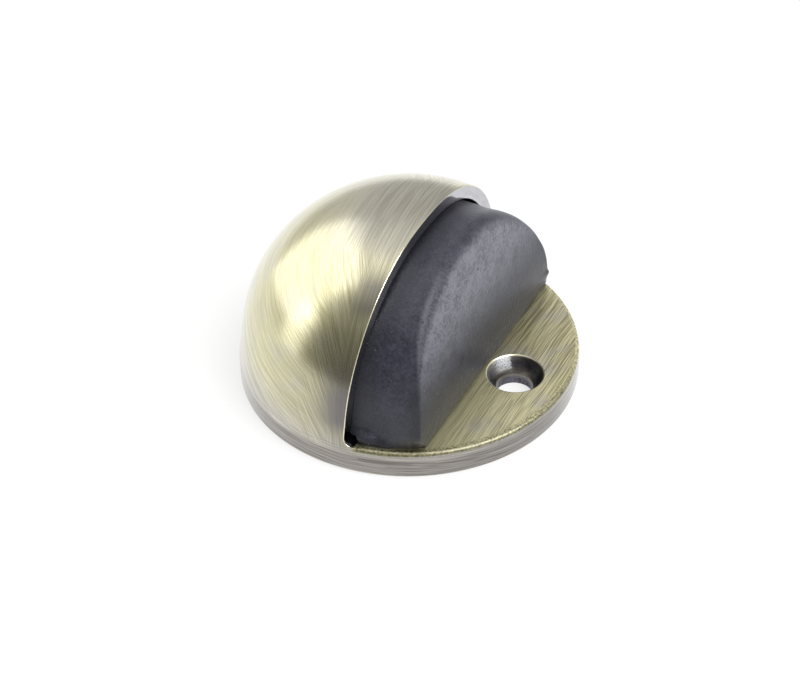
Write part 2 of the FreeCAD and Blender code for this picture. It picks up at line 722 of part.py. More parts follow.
half_span = V["recess_span"] / 2
half_width = V["recess_width"] / 2
recess_outline = new_sketch(screw, "cross_recess_outline", XY)
cross = [
    (half_span, half_width), (half_width, half_width), (half_width, half_span),
    (-half_width, half_span), (-half_width, half_width), (-half_span, half_width),
    (-half_span, -half_width), (-half_width, -half_width), (-half_width, -half_span),
    (half_width, -half_span), (half_width, -half_width), (half_span, -half_width),
]
for k in range(len(cross)):
    ax, ay = cross[k]
    bx, by = cross[(k + 1) % len(cross)]
    recess_outline.addGeometry(
        line(vec(ax, ay + V["screw_y"]), vec(bx, by + V["screw_y"])), False
    )
for k in range(len(cross)):
    join(recess_outline, k, 2, (k + 1) % len(cross), 1)
    recess_outline.addConstraint(Sketcher.Constraint("Block", k))
recess = screw.newObject("PartDesign::Pocket", "cross_recess")
recess.Profile = recess_outline
recess.Type = "Length"
recess.Reversed = True
recess.setExpression("Length", "dims.head_sink + dims.recess_depth")
doc.recompute()
check_volume(recess, volume, False)
screw.Tip = recess

# ---------------------------------------------------------------- checks and export
doc.recompute()
for item in doc.Objects:
    for word in item.State:
        if word in ("Invalid", "Error"):
            raise RuntimeError("%s is %s" % (item.Name, word))
for body in (casting, buffer, insert, screw):
    shape = body.Shape
    if shape.isNull() or not shape.isValid() or len(shape.Solids) != 1:
        raise RuntimeError("%s has no single valid solid" % body.Label)
    shape.exportStep("parts/%s.step" % body.Label)
    print(body.Label, "%.1f mm3" % shape.Volume)
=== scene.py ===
"""Half-dome floor door stop: the looks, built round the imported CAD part. Metres, +Z up."""
import bpy
import bmesh
import math
import numpy as np
from mathutils import Matrix, Quaternion, Vector, noise


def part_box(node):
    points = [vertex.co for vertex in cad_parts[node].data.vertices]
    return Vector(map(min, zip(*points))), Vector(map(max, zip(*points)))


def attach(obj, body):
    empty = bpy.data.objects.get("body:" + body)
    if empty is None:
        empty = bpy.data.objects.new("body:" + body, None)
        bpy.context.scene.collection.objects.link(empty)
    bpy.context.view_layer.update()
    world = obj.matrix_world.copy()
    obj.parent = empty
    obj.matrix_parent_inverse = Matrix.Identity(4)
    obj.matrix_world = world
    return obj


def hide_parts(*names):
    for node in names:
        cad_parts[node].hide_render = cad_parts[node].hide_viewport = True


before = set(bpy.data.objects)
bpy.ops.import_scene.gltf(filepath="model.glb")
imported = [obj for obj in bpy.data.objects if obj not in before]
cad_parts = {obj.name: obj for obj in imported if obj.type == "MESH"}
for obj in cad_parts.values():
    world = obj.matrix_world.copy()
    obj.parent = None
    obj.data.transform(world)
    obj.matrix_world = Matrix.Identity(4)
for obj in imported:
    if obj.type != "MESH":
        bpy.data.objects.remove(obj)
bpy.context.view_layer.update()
MM = 0.001

# ---------------------------------------------------------------- sizes of the real object, mm
_, cast_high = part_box("body_casting")
BASE_R = cast_high.x / MM
DOME_H = cast_high.z / MM
RIM_H = 2.6
FLANGE_Z = 3.7
FLANGE_EDGE = 0.5
DRAFT = math.radians(8.0)
SHOULDER_R = 20.2
CROWN_R = 36.0
CROWN_Z = DOME_H - CROWN_R
WALL = 1.9
LIP_Y = -2.0
LIP_LEAN = math.radians(2.2)
LIP_FOOT = 1.2
LIP_OUTER_EDGE = 0.14
LIP_INNER_EDGE = 0.15
FIXING = (0.0, -15.35)
FIXING_BORE = 2.4
FIXING_MOUTH = 3.75
FIXING_LAND = 1.7
SEAT = (0.0, 3.0)
SEAT_MOUTH = 4.15
SEAT_BORE = 2.15
SEAT_RIM = 0.6
SEAT_DEPTH = 2.6

SKIN, LIP, TOP, HOLE, RAW = range(5)  # the casting's material slots
UP = np.array([0.0, 0.0, 1.0])


# ---------------------------------------------------------------- the dome's profile
HALVINGS = 40


def last_inside(far, inside):
    """The end of the span from 0 towards far over which inside(value) holds, by halving."""
    near = 0.0
    for _ in range(HALVINGS):
        middle = 0.5 * (near + far)
        if inside(middle):
            near = middle
        else:
            far = middle
    return near


def shoulder_centre(turn):
    """Centre (x, z) of a shoulder arc that leaves the crown arc at a turn from the vertical."""
    apart = CROWN_R - SHOULDER_R
    return apart * math.sin(turn), CROWN_Z + apart * math.cos(turn)


def clears_side(turn):
    """Whether the shoulder arc at this turn still stays inside the dome's leaning side."""
    x, z = shoulder_centre(turn)
    reach = (BASE_R - x) * math.cos(DRAFT) + (RIM_H - z) * math.sin(DRAFT)
    return reach > SHOULDER_R


TURN = last_inside(0.5 * math.pi - DRAFT, clears_side)
SHOULDER_X, SHOULDER_Z = shoulder_centre(TURN)


def profile(z, inset):
    """Radius of the dome at height z, moved in by inset, and the outward normal there (nr, nz)."""
    crown = CROWN_R - inset
    shoulder = SHOULDER_R - inset
    if z >= CROWN_Z + crown * math.cos(TURN):
        r = math.sqrt(max(crown ** 2 - (z - CROWN_Z) ** 2, 0.0))
        return r, r / crown, (z - CROWN_Z) / crown
    if z >= SHOULDER_Z + shoulder * math.sin(DRAFT):
        r = math.sqrt(max(shoulder ** 2 - (z - SHOULDER_Z) ** 2, 0.0))
        return SHOULDER_X + r, r / shoulder, (z - SHOULDER_Z) / shoulder
    shift = BASE_R * math.cos(DRAFT) + RIM_H * math.sin(DRAFT) - inset
    return (shift - z * math.sin(DRAFT)) / math.cos(DRAFT), math.cos(DRAFT), math.sin(DRAFT)


def surface_point(centre, direction, inset):
    """Where a ray from a centre inside the dome meets its profile surface."""
    cx, cy, cz = (float(c) for c in centre)
    dx, dy, dz = (float(d) for d in direction)

    def inside(reach):
        z = cz + dz * reach
        across = math.hypot(cx + dx * reach, cy + dy * reach)
        return z < DOME_H - inset and across < profile(z, inset)[0]

    reach = last_inside(3.0 * BASE_R, inside)
    return np.array([cx + dx * reach, cy + dy * reach, cz + dz * reach])


def surface_normal(p, inset):
    """Outward normal of the dome's profile surface at a point on it."""
    _, nr, nz = profile(p[2], inset)
    length = max(math.hypot(p[0], p[1]), 1e-9)
    n = np.array([p[0] / length * nr, p[1] / length * nr, nz], float)
    return n / np.linalg.norm(n)


# ---------------------------------------------------------------- the lip's front sheet
FOOT_CY = LIP_Y - LIP_FOOT * math.tan(LIP_LEAN) - LIP_FOOT / math.cos(LIP_LEAN)
FOOT_CZ = FLANGE_Z + LIP_FOOT
FOOT_TOP = FOOT_CZ + LIP_FOOT * math.sin(LIP_LEAN)
MOST_LEAN = math.radians(108.0)  # further back than any plane of the fan leans


def sheet_y(z):
    """The lip's plane, with the cast fillet at its foot."""
    if z >= FOOT_TOP:
        return LIP_Y - (z - FLANGE_Z) * math.tan(LIP_LEAN)
    depth = max(LIP_FOOT ** 2 - (FOOT_CZ - z) ** 2, 0.0)
    return FOOT_CY + math.sqrt(depth)


def sheet_normal(z):
    """Outward normal of the lip's sheet at height z."""
    if z >= FOOT_TOP:
        return np.array([0.0, -math.cos(LIP_LEAN), -math.sin(LIP_LEAN)])
    return np.array([0.0, FOOT_CY - sheet_y(z), FOOT_CZ - z]) / LIP_FOOT


def fan(phi, psi):
    """Direction at arch angle phi in the plane that leans psi up from the horizontal."""
    return np.array([
        math.cos(phi), math.sin(phi) * math.cos(psi), math.sin(phi) * math.sin(psi)
    ])


def edge_angle(centre, phi, inset):
    """Lean of the fan's plane at which the dome's surface meets the lip's sheet."""

    def behind_lip(psi):
        p = surface_point(centre, fan(phi, psi), inset)
        return p[1] > sheet_y(p[2])

    return last_inside(MOST_LEAN, behind_lip)


def turned_normals(n_a, n_b, steps):
    """Unit vectors that turn evenly from n_a to n_b."""
    turn = math.acos(max(-1.0, min(1.0, float(n_a @ n_b))))
    shares = [k / steps for k in range(steps + 1)]
    return [
        (math.sin((1 - t) * turn) * n_a + math.sin(t * turn) * n_b) / math.sin(turn)
        for t in shares
    ]


def round_edge(edge, n_a, n_b, radius, steps):
    """Points of a rounding between two faces that meet at edge, from face a to face b."""
    middle = edge - radius * (n_a + n_b) / (1.0 + float(n_a @ n_b))
    return [middle + radius * n for n in turned_normals(n_a, n_b, steps)]


def smooth(low, high, value):
    """0 below low and 1 above high, with a soft step between."""
    t = max(0.0, min(1.0, (value - low) / (high - low)))
    return t * t * (3.0 - 2.0 * t)


# ---------------------------------------------------------------- mesh helpers
RING_POINTS = 72
MERGE = 2e-7  # metres; vertices closer than this are one vertex


class Sheet:
    """Collects rows of vertices, each with a mask value, and the faces between them."""

    def __init__(self):
        self.bm = bmesh.new()
        self.mask = self.bm.verts.layers.float.new("mask")

    def vertex(self, p, mask=0.0):
        v = self.bm.verts.new(Vector(p) * MM)
        v[self.mask] = mask
        return v

    def row(self, points, mask=0.0):
        return [self.vertex(p, mask) for p in points]

    def face(self, corners, zone):
        """A face, unless fewer than three of its corners differ."""
        kept = []
        for v in corners:
            if v not in kept:
                kept.append(v)
        if len(kept) < 3:
            return
        face = self.bm.faces.new(kept)
        face.material_index = zone
        face.smooth = True

    def strip(self, first, second, zone, closed=False):
        """Quads between two rows of the same length."""
        count = len(first)
        for k in range(count if closed else count - 1):
            m = (k + 1) % count
            self.face([first[k], first[m], second[m], second[k]], zone)

    def strips(self, rows, zone, closed=False):
        for a, b in zip(rows, rows[1:]):
            self.strip(a, b, zone, closed)

    def cap(self, hub, row, zone):
        """Triangles from a hub to a closed row."""
        for k in range(len(row)):
            self.face([hub, row[k], row[(k + 1) % len(row)]], zone)

    def fill(self, loops, zone, up):
        """A flat face bounded by the first loop, with the other loops as holes."""
        edges = []
        for loop in loops:
            for a, b in zip(loop, loop[1:] + loop[:1]):
                found = self.bm.edges.get((a, b))
                edges.append(found or self.bm.edges.new((a, b)))
        made = bmesh.ops.triangle_fill(
            self.bm, use_beauty=True, use_dissolve=False, edges=edges, normal=Vector((0, 0, up))
        )
        for item in made["geom"]:
            if isinstance(item, bmesh.types.BMFace):
                item.material_index = zone
                item.smooth = True

    def finish(self, name, sharp_degrees):
        bmesh.ops.remove_doubles(self.bm, verts=self.bm.verts, dist=MERGE)
        bmesh.ops.recalc_face_normals(self.bm, faces=self.bm.faces)
        mesh = bpy.data.meshes.new(name)
        self.bm.to_mesh(mesh)
        self.bm.free()
        mesh.set_sharp_from_angle(angle=math.radians(sharp_degrees))
        piece = bpy.data.objects.new(name, mesh)
        bpy.context.scene.collection.objects.link(piece)
        weighted = piece.modifiers.new("face weighted normals", "WEIGHTED_NORMAL")
        weighted.keep_sharp = True
        return piece


def ring(centre, radius, z):
    """Points of a level circle about a centre (x, y)."""
    turns = [2 * math.pi * k / RING_POINTS for k in range(RING_POINTS)]
    return [(centre[0] + radius * math.cos(a), centre[1] + radius * math.sin(a), z) for a in turns]


def without_doubles(loop):
    """A loop's vertices, less each one that lies on the one before it."""
    kept = loop[:1]
    for v in loop[1:]:
        if (v.co - kept[-1].co).length > MERGE:
            kept.append(v)
    return kept


def arch_angles(fine, fine_until, coarse):
    """Arch angles from one foot of the lip to the other, close together near the feet."""
    half = [0.0]
    while half[-1] < fine_until:
        half.append(half[-1] + fine)
    rest = max(1, round((90.0 - half[-1]) / coarse))
    step = (90.0 - half[-1]) / rest
    for _ in range(rest):
        half.append(half[-1] + step)
    half[-1] = 90.0
    other = [180.0 - a for a in reversed(half[:-1])]
    return [math.radians(a) for a in half + other]


# ---------------------------------------------------------------- the casting
ROUND_STEPS = 6
INNER_ROUND_STEPS = 3
DOME_ROWS = 52
HOLLOW_ROWS = 22
LIP_FACE_STEPS = 4
FRONT_STEPS = 120
EDGE_FADE = 1.9  # how far from the lip the flange's edge is at its full radius
LIP_WEAR = (0.0, 0.6, 1.0, 1.0, 0.7, 0.2, 0.0)
FLANGE_WEAR = (0.0, 0.0, 0.0, 0.05, 0.15, 0.15, 0.05)
INNER_WEAR = 0.35
FOOT_SHARE = 0.3  # the inner edge's radius, as a share of its height, at its foot
SIDE_SHARES = (0.4, 0.75, 1.0)  # rows down the leaning side, from the flange to the rim
RIM_ROWS = (
    # height, how far in from the rim, wear
    (2.1, 0.0, 0.0), (1.2, 0.0, 0.0), (0.25, 0.0, 0.0),
    (0.12, 0.03, 0.3), (0.04, 0.1, 0.5), (0.0, 0.25, 0.1),
)
FLANGE_R = float(profile(FLANGE_Z, 0.0)[0])
CORNER_TURN = math.acos(FOOT_CY / FLANGE_R)  # from +Y to where the lip's foot meets the edge


def flange_round(turn, radius):
    """The rounding of the flange's edge at an angle from +Y, from the rim to the top."""
    out = np.array([math.sin(turn), math.cos(turn), 0.0])
    n_side = out * math.cos(DRAFT) + UP * math.sin(DRAFT)
    return round_edge(out * FLANGE_R + UP * FLANGE_Z, n_side, UP, radius, ROUND_STEPS)


def shell_column(centre, phi, inset, rounding, rows):
    """Points up the dome in one plane of the fan, from its foot to the lip's rounding."""
    end = rounding[0] - centre
    psi = math.atan2(end[2], end[1])
    column = [surface_point(centre, fan(phi, psi * i / rows), inset) for i in range(rows)]
    return column + [rounding[0]]


def outer_columns(angles):
    """Columns up the dome's outside, and the rounding of the lip's outer edge on each."""
    right = flange_round(CORNER_TURN, LIP_OUTER_EDGE)
    left = flange_round(-CORNER_TURN, LIP_OUTER_EDGE)
    centre = np.array([0.0, right[0][1], right[0][2]])
    columns = [[right[0]] * (DOME_ROWS + 1)]
    rounds = [right]
    for phi in angles[1:-1]:
        edge = surface_point(centre, fan(phi, edge_angle(centre, phi, 0.0)), 0.0)
        rounding = round_edge(
            edge, surface_normal(edge, 0.0), sheet_normal(edge[2]), LIP_OUTER_EDGE, ROUND_STEPS
        )
        columns.append(shell_column(centre, phi, 0.0, rounding, DOME_ROWS))
        rounds.append(rounding)
    columns.append([left[0]] * (DOME_ROWS + 1))
    rounds.append(left)
    return columns, rounds


def inner_columns(angles):
    """Columns up the shell's inside, and the rounding of the lip's inner edge on each."""
    centre = np.array([0.0, FOOT_CY, FLANGE_Z])
    corner_x = math.sqrt(profile(FLANGE_Z, WALL)[0] ** 2 - FOOT_CY ** 2)
    right = centre + np.array([corner_x, 0.0, 0.0])
    left = centre - np.array([corner_x, 0.0, 0.0])
    columns = [[right] * (HOLLOW_ROWS + 1)]
    rounds = [[right] * (INNER_ROUND_STEPS + 1)]
    for phi in angles[1:-1]:
        edge = surface_point(centre, fan(phi, edge_angle(centre, phi, WALL)), WALL)
        height = max(edge[2] - FLANGE_Z, 1e-4)
        radius = min(LIP_INNER_EDGE, FOOT_SHARE * height)
        rounding = round_edge(
            edge, -surface_normal(edge, WALL), sheet_normal(edge[2]), radius, INNER_ROUND_STEPS
        )
        columns.append(shell_column(centre, phi, WALL, rounding, HOLLOW_ROWS))
        rounds.append(rounding)
    columns.append([left] * (HOLLOW_ROWS + 1))
    rounds.append([left] * (INNER_ROUND_STEPS + 1))
    return columns, rounds


def add_outside(s, columns, rounds):
    """The dome's outside and the lip's outer edge, worn most on the left."""
    dome_rows = [s.row(points) for points in zip(*columns)]
    s.strips(dome_rows, SKIN)
    round_rows = [dome_rows[-1]]
    for k in range(1, ROUND_STEPS + 1):
        row = s.row([rounding[k] for rounding in rounds])
        for v in row:
            v[s.mask] = LIP_WEAR[k] * (1.0 - 0.9 * smooth(-2.0, 3.0, v.co.x / MM))
        round_rows.append(row)
    s.strips(round_rows, SKIN)
    return dome_rows, round_rows


def add_hollow(s, columns, rounds):
    """The shell's inside and the lip's inner edge."""
    inner_rows = [s.row(points) for points in zip(*columns)]
    s.strips(inner_rows, RAW)
    round_rows = [inner_rows[-1]]
    for k in range(1, INNER_ROUND_STEPS + 1):
        round_rows.append(s.row([rounding[k] for rounding in rounds], INNER_WEAR))
    s.strips(round_rows, LIP)
    return inner_rows, round_rows


def add_lip_face(s, outer_row, inner_row, outer_rounds, inner_rounds):
    """The lip's flat face, between its two rounded edges."""
    rows = [outer_row]
    for k in range(1, LIP_FACE_STEPS):
        points = []
        for outer, inner in zip(outer_rounds, inner_rounds):
            p = outer[-1] + (inner[-1] - outer[-1]) * (k / LIP_FACE_STEPS)
            points.append((p[0], sheet_y(max(p[2], FLANGE_Z)), p[2]))
        rows.append(s.row(points))
    rows.append(inner_row)
    s.strips(rows, LIP)
    return rows


def add_rim(s, foot, foot_row, lip_rounds):
    """The flange's edge in front of the dome, then the side and the rim all the way round."""
    open_turn = 2 * math.pi - 2 * CORNER_TURN
    front_turns = [-CORNER_TURN - open_turn * k / FRONT_STEPS for k in range(1, FRONT_STEPS)]
    rounded = []
    for turn in front_turns:
        away = FOOT_CY - FLANGE_R * math.cos(turn)
        radius = LIP_OUTER_EDGE + (FLANGE_EDGE - LIP_OUTER_EDGE) * smooth(0.0, EDGE_FADE, away)
        rounded.append(flange_round(turn, radius))
    top_rows = []
    for k in range(ROUND_STEPS + 1):
        front = s.row([points[k] for points in rounded], FLANGE_WEAR[k])
        top_rows.append([lip_rounds[k][-1]] + front + [lip_rounds[k][0]])
    s.strips(top_rows, SKIN)

    turns = [math.atan2(p[0], p[1]) for p in foot] + front_turns
    heights = [p[2] for p in foot] + [points[0][2] for points in rounded]
    band_rows = [foot_row + top_rows[0][1:-1]]
    for t in SIDE_SHARES:
        points = []
        for turn, top in zip(turns, heights):
            z = top + (RIM_H - top) * t
            r = float(profile(z, 0.0)[0])
            points.append((r * math.sin(turn), r * math.cos(turn), z))
        band_rows.append(s.row(points))
    for z, inward, wear in RIM_ROWS:
        r = BASE_R - inward
        band_rows.append(s.row([(r * math.sin(a), r * math.cos(a), z) for a in turns], wear))
    s.strips(band_rows, SKIN, closed=True)
    return top_rows[-1], band_rows[-1]


def add_fixing_hole(s):
    """The countersunk fixing hole, bright round its mouth; gives its top and bottom rings."""
    slope = (FIXING_MOUTH - FIXING_BORE) / (FLANGE_Z - FIXING_LAND)
    rows = [s.row(ring(FIXING, r, z), wear) for z, r, wear in (
        (FLANGE_Z, FIXING_MOUTH + 0.12, 0.0),
        (FLANGE_Z - 0.02, FIXING_MOUTH + 0.03, 0.9),
        (FLANGE_Z - 0.08, FIXING_MOUTH - 0.04, 1.0),
        (FLANGE_Z - 0.2, FIXING_MOUTH - 0.2 * slope, 0.1),
        (FLANGE_Z - 1.0, FIXING_MOUTH - 1.0 * slope, 0.0),
        (FIXING_LAND + 0.02, FIXING_BORE + 0.03, 0.2),
        (FIXING_LAND - 0.05, FIXING_BORE, 0.2),
        (0.9, FIXING_BORE, 0.0),
        (0.0, FIXING_BORE, 0.0),
    )]
    s.strips(rows, HOLE, closed=True)
    return rows[0], rows[-1]


def add_screw_seat(s):
    """The seat of the buffer's screw; gives its top and bottom rings."""
    rows = [s.row(ring(SEAT, r, z)) for z, r in (
        (FLANGE_Z, SEAT_BORE), (SEAT_DEPTH, SEAT_BORE), (SEAT_RIM, SEAT_MOUTH), (0.0, SEAT_MOUTH),
    )]
    s.strips(rows, RAW, closed=True)
    return rows[0], rows[-1]


def make_casting():
    """The base and the hollow dome, one closed mesh."""
    s = Sheet()
    angles = arch_angles(fine=0.35, fine_until=5.0, coarse=1.45)
    columns, rounds = outer_columns(angles)
    dome_rows, round_rows = add_outside(s, columns, rounds)
    hollow_columns, inner_rounds = inner_columns(angles)
    inner_rows, inner_round_rows = add_hollow(s, hollow_columns, inner_rounds)
    face_rows = add_lip_face(s, round_rows[-1], inner_round_rows[-1], rounds, inner_rounds)
    foot = [column[0] for column in columns]
    front_edge, underside = add_rim(s, foot, dome_rows[0], round_rows)
    hole_top, hole_bottom = add_fixing_hole(s)
    seat_top, seat_bottom = add_screw_seat(s)

    # the flange's top with the hollow's floor: round the front, in along the right foot, round
    # the back of the hollow and out along the left foot
    floor_loop = list(front_edge)
    floor_loop += [row[0] for row in face_rows[1:]]
    floor_loop += inner_rows[0][1:-1]
    floor_loop += [row[-1] for row in reversed(face_rows[1:])]
    s.fill([without_doubles(floor_loop), hole_top, seat_top], TOP, 1)
    s.fill([underside, hole_bottom, seat_bottom], RAW, -1)
    return s.finish("dome_casting", sharp_degrees=38.0)


casting = make_casting()


# ---------------------------------------------------------------- the rubber buffer
BUFFER_INSET = WALL + 0.5
BUFFER_Z = FLANGE_Z + 0.01
BUFFER_FRONT = -11.35
BUFFER_BACK = 9.0
UPRIGHT_TO = 6.0
BEND_R = 24.0
FACE_LEAN = math.radians(11.5)
FACE_MIDDLE = 12.5  # height that the striking face's rings shrink to
BACK_MIDDLE = 12.0  # and the same on the flat back
FACE_RINGS = 14
NOSE_STEPS = 7
FOOT_STEPS = 4
BOTTOM_STEPS = 24
# rows of points: mm behind the face's rounding, then shares of the way on to y = 0, then y itself
BEHIND_NOSE = (0.12, 0.24, 0.36, 0.48, 0.6, 0.74, 0.9, 1.15, 1.5)
SIDE_ROWS = (0.08, 0.16, 0.24, 0.32, 0.4, 0.48, 0.56, 0.64, 0.72, 0.8, 0.88, 0.94, 1.0)
REAR_ROWS = (1.0, 2.5, 4.0, 5.5, 7.0, 8.0, 8.8, BUFFER_BACK)
SIDE_FOOT_EDGE = 0.3
FOOT_EDGE = 0.35
FOOT_REACH = 21.3
UNEVEN_TO = -0.5  # only what lies in front of this y is unevenly moulded
FAR_FOOT = 0.8  # how much further out the foot reaches on the far side
CROWN_SINK = 0.35  # how far the rubber's top sinks behind the lip's crown
LIP_SWELL = 0.33  # how far the rubber fills its gap beside the lip
FOOT_BEAD = 0.5  # height of the bead round the nose's foot
LIP_BEAD = 1.3  # how much taller the bead is beside the lip
NIB = np.array([19.7, -10.9, 5.3])  # the flash left at the far end of the face's edge
NIB_SIZE = np.array([0.8, 0.8, 0.42])
NIB_PULL = np.array([0.42, -0.3, 0.02])
BEND_TOP_Z = UPRIGHT_TO + BEND_R * math.sin(FACE_LEAN)
BEND_TOP_Y = BUFFER_FRONT + BEND_R * (1 - math.cos(FACE_LEAN))


def face_at(z):
    """The striking face's y at height z, and its normal: upright foot, bend, then a lean back."""
    if z <= UPRIGHT_TO:
        return BUFFER_FRONT, np.array([0.0, -1.0, 0.0])
    if z <= BEND_TOP_Z:
        lean = math.asin((z - UPRIGHT_TO) / BEND_R)
        y = BUFFER_FRONT + BEND_R * (1 - math.cos(lean))
        return y, np.array([0.0, -math.cos(lean), math.sin(lean)])
    y = BEND_TOP_Y + (z - BEND_TOP_Z) * math.tan(FACE_LEAN)
    return y, np.array([0.0, -math.cos(FACE_LEAN), math.sin(FACE_LEAN)])


def nose_edge(z):
    """Radius of the striking face's edge: sharp at the foot, soft towards the top."""
    return FOOT_EDGE + 0.30 * smooth(6.0, 14.0, z) + 1.35 * smooth(13.0, 20.5, z)


def section(y, arch):
    """The buffer's D-shaped outline at y as (x, z, nx, nz) round from its right foot."""
    depth = max(y, 0.0)
    side = np.array([math.cos(DRAFT), math.sin(DRAFT)])
    down = np.array([0.0, -1.0])
    half_width = math.sqrt(max(profile(BUFFER_Z, BUFFER_INSET)[0] ** 2 - depth ** 2, 0.0))
    foot = round_edge(np.array([half_width, BUFFER_Z]), side, down, SIDE_FOOT_EDGE, FOOT_STEPS)
    normals = turned_normals(side, down, FOOT_STEPS)
    first = math.atan2(foot[0][1] - BUFFER_Z, foot[0][0])
    points = []
    for share in arch:
        phi = first + (math.pi - 2 * first) * share
        direction = (math.cos(phi), 0.0, math.sin(phi))
        p = surface_point((0.0, depth, BUFFER_Z), direction, BUFFER_INSET)
        n = surface_normal(p, BUFFER_INSET)[[0, 2]]
        n = n / max(np.linalg.norm(n), 1e-9)
        points.append((p[0], p[2], n[0], n[1]))
    for k in range(1, FOOT_STEPS + 1):
        points.append((-foot[k][0], foot[k][1], -normals[k][0], normals[k][1]))
    for k in range(1, BOTTOM_STEPS):
        x = foot[-1][0] * (2 * k / BOTTOM_STEPS - 1)
        points.append((x, BUFFER_Z, 0.0, -1.0))
    for k in range(FOOT_STEPS, 0, -1):
        points.append((foot[k][0], foot[k][1], normals[k][0], normals[k][1]))
    return points


def wobble(p, size, seed):
    """Smooth unevenness of about -1 to 1, with lumps of about the given size."""
    return noise.noise(Vector((p[0] / size, p[1] / size, p[2] / size + seed)))


def foot_shift(q):
    """How far the foot moves in or out so that it follows the flange's round edge."""
    height = q[2] - BUFFER_Z
    side = math.copysign(1.0, q[0])
    reach = FOOT_REACH + 0.22 * wobble((q[1], 0.0, side * 3.0), 1.1, 4.0)
    if side > 0:
        reach += FAR_FOOT
    now = math.hypot(q[0], q[1])
    if now > reach:
        hold = 1.0 - smooth(0.3, 2.6, height)
    else:
        bead = FOOT_BEAD + LIP_BEAD * (1.0 - smooth(4.0, 6.5, -q[1]))
        begins = 3.0 - 0.8 * smooth(0.2, 1.2, height)
        hold = (1.0 - smooth(0.4 * bead, bead, height)) * smooth(begins, begins + 0.5, -q[1])
    wanted = now + (reach - now) * hold
    return math.sqrt(max(wanted ** 2 - q[1] ** 2, 0.0)) * side - q[0]


def pillow(q, end):
    """How far the striking face falls back near its rounded upper edge."""
    inward = math.hypot(q[0] - end[0], q[2] - end[2])
    return 0.30 * (1.0 - smooth(0.0, 4.5, inward)) ** 1.5 * smooth(9.0, 17.0, end[2])


def gap_fill(q):
    """How far the rubber swells towards the shell beside the lip, less so near the crown."""
    by_lip = smooth(-4.4, -2.8, q[1]) * (1.0 - smooth(-1.0, 1.0, q[1]))
    return LIP_SWELL * by_lip * (1.0 - smooth(15.0, 20.0, q[2]))


def nose_roundings(shape):
    """The rounding of the striking face's edge at each point of the outline."""
    roundings = []
    for x, z, nx, nz in shape:
        y, n_face = face_at(z)
        n_side = np.array([nx, 0.0, nz])
        n_side = n_side / np.linalg.norm(n_side)
        roundings.append(round_edge(np.array([x, y, z]), n_face, n_side, nose_edge(z), NOSE_STEPS))
    return roundings


def buffer_rows(shape, nose, arch):
    """Closed rows of the plain block: rings of the face, its rounding, the sides and the rear."""
    rows = []
    for i in range(1, FACE_RINGS + 1):
        t = i / FACE_RINGS
        points = []
        for end in (rounding[0] for rounding in nose):
            z = FACE_MIDDLE + (end[2] - FACE_MIDDLE) * t
            points.append((end[0] * t, face_at(z)[0] if i < FACE_RINGS else end[1], z))
        rows.append(points)
    for step in range(1, NOSE_STEPS + 1):
        rows.append([rounding[step] for rounding in nose])
    starts = [rounding[-1][1] for rounding in nose]
    for away in BEHIND_NOSE:
        rows.append([(p[0], start + away, p[1]) for p, start in zip(shape, starts)])
    for t in SIDE_ROWS:
        rows.append([
            (p[0], (start + BEHIND_NOSE[-1]) * (1 - t), p[1]) for p, start in zip(shape, starts)
        ])
    for y in REAR_ROWS:
        rows.append([(p[0], y, p[1]) for p in section(y, arch)])
    return rows


def moulded(p, i, normal, end):
    """A point of row i, moved from the plain block to the moulded one; no normal underneath."""
    q = np.array(p, float)
    on_face = i < FACE_RINGS + NOSE_STEPS
    if normal is not None:
        swell = 0.0
        if i >= FACE_RINGS - 1 and q[1] < UNEVEN_TO:
            swell = 0.07 * wobble(q, 6.0, 1.0) + 0.02 * wobble(q, 1.7, 5.0)
            swell *= smooth(0.5, 3.0, -q[1])
        q += normal * swell
        if not on_face:
            q += normal * gap_fill(q)
        q[2] -= CROWN_SINK * smooth(16.0, 21.0, q[2]) * smooth(-7.0, -4.0, q[1])
        if on_face:
            q[1] += pillow(q, end)
            q[1] += 0.05 * wobble(q, 5.0, 2.0) + 0.012 * wobble(q, 1.2, 3.0)
    if i >= FACE_RINGS - 1 and q[1] < UNEVEN_TO:
        q[0] += foot_shift(q) * smooth(12.0, 17.0, abs(q[0]))
    return q


def face_share(i):
    """1 on the striking face, fading over its rounding."""
    return 1.0 - smooth(FACE_RINGS - 1.5, FACE_RINGS + 0.5 * NOSE_STEPS, i)


def make_buffer():
    """The rubber block, one closed mesh, masked on its striking face."""
    s = Sheet()
    arch = [a / math.pi for a in arch_angles(fine=0.9, fine_until=11.0, coarse=1.7)]
    shape = section(BUFFER_FRONT, arch)
    nose = nose_roundings(shape)
    normals = [np.array([nx, 0.0, nz]) for _, _, nx, nz in shape]
    normals[len(arch):] = [None] * (len(shape) - len(arch))
    rows = []
    for i, points in enumerate(buffer_rows(shape, nose, arch)):
        rows.append([
            moulded(p, i, normal, rounding[0]) for p, normal, rounding in zip(points, normals, nose)
        ])
    # the nib pulls out the rows on both sides of the face's rounding
    for points in rows[FACE_RINGS - 3:FACE_RINGS + NOSE_STEPS + 5]:
        for q in points:
            gap = np.linalg.norm((q - NIB) / NIB_SIZE)
            q += NIB_PULL * math.exp(-gap ** 2)
    made = [s.row(points, face_share(i)) for i, points in enumerate(rows)]
    s.strips(made, 0, closed=True)
    s.cap(s.vertex((0.0, face_at(FACE_MIDDLE)[0], FACE_MIDDLE), 1.0), made[0], 0)

    hub = s.vertex((0.0, BUFFER_BACK, BACK_MIDDLE))
    back = [made[-1]]
    for t in (0.75, 0.5, 0.25):
        back.append(s.row([
            (v.co.x / MM * t, BUFFER_BACK, BACK_MIDDLE + (v.co.z / MM - BACK_MIDDLE) * t)
            for v in made[-1]
        ]))
    s.strips(back, 0, closed=True)
    s.cap(hub, back[-1], 0)
    return s.finish("rubber_block", sharp_degrees=50.0)


buffer = make_buffer()


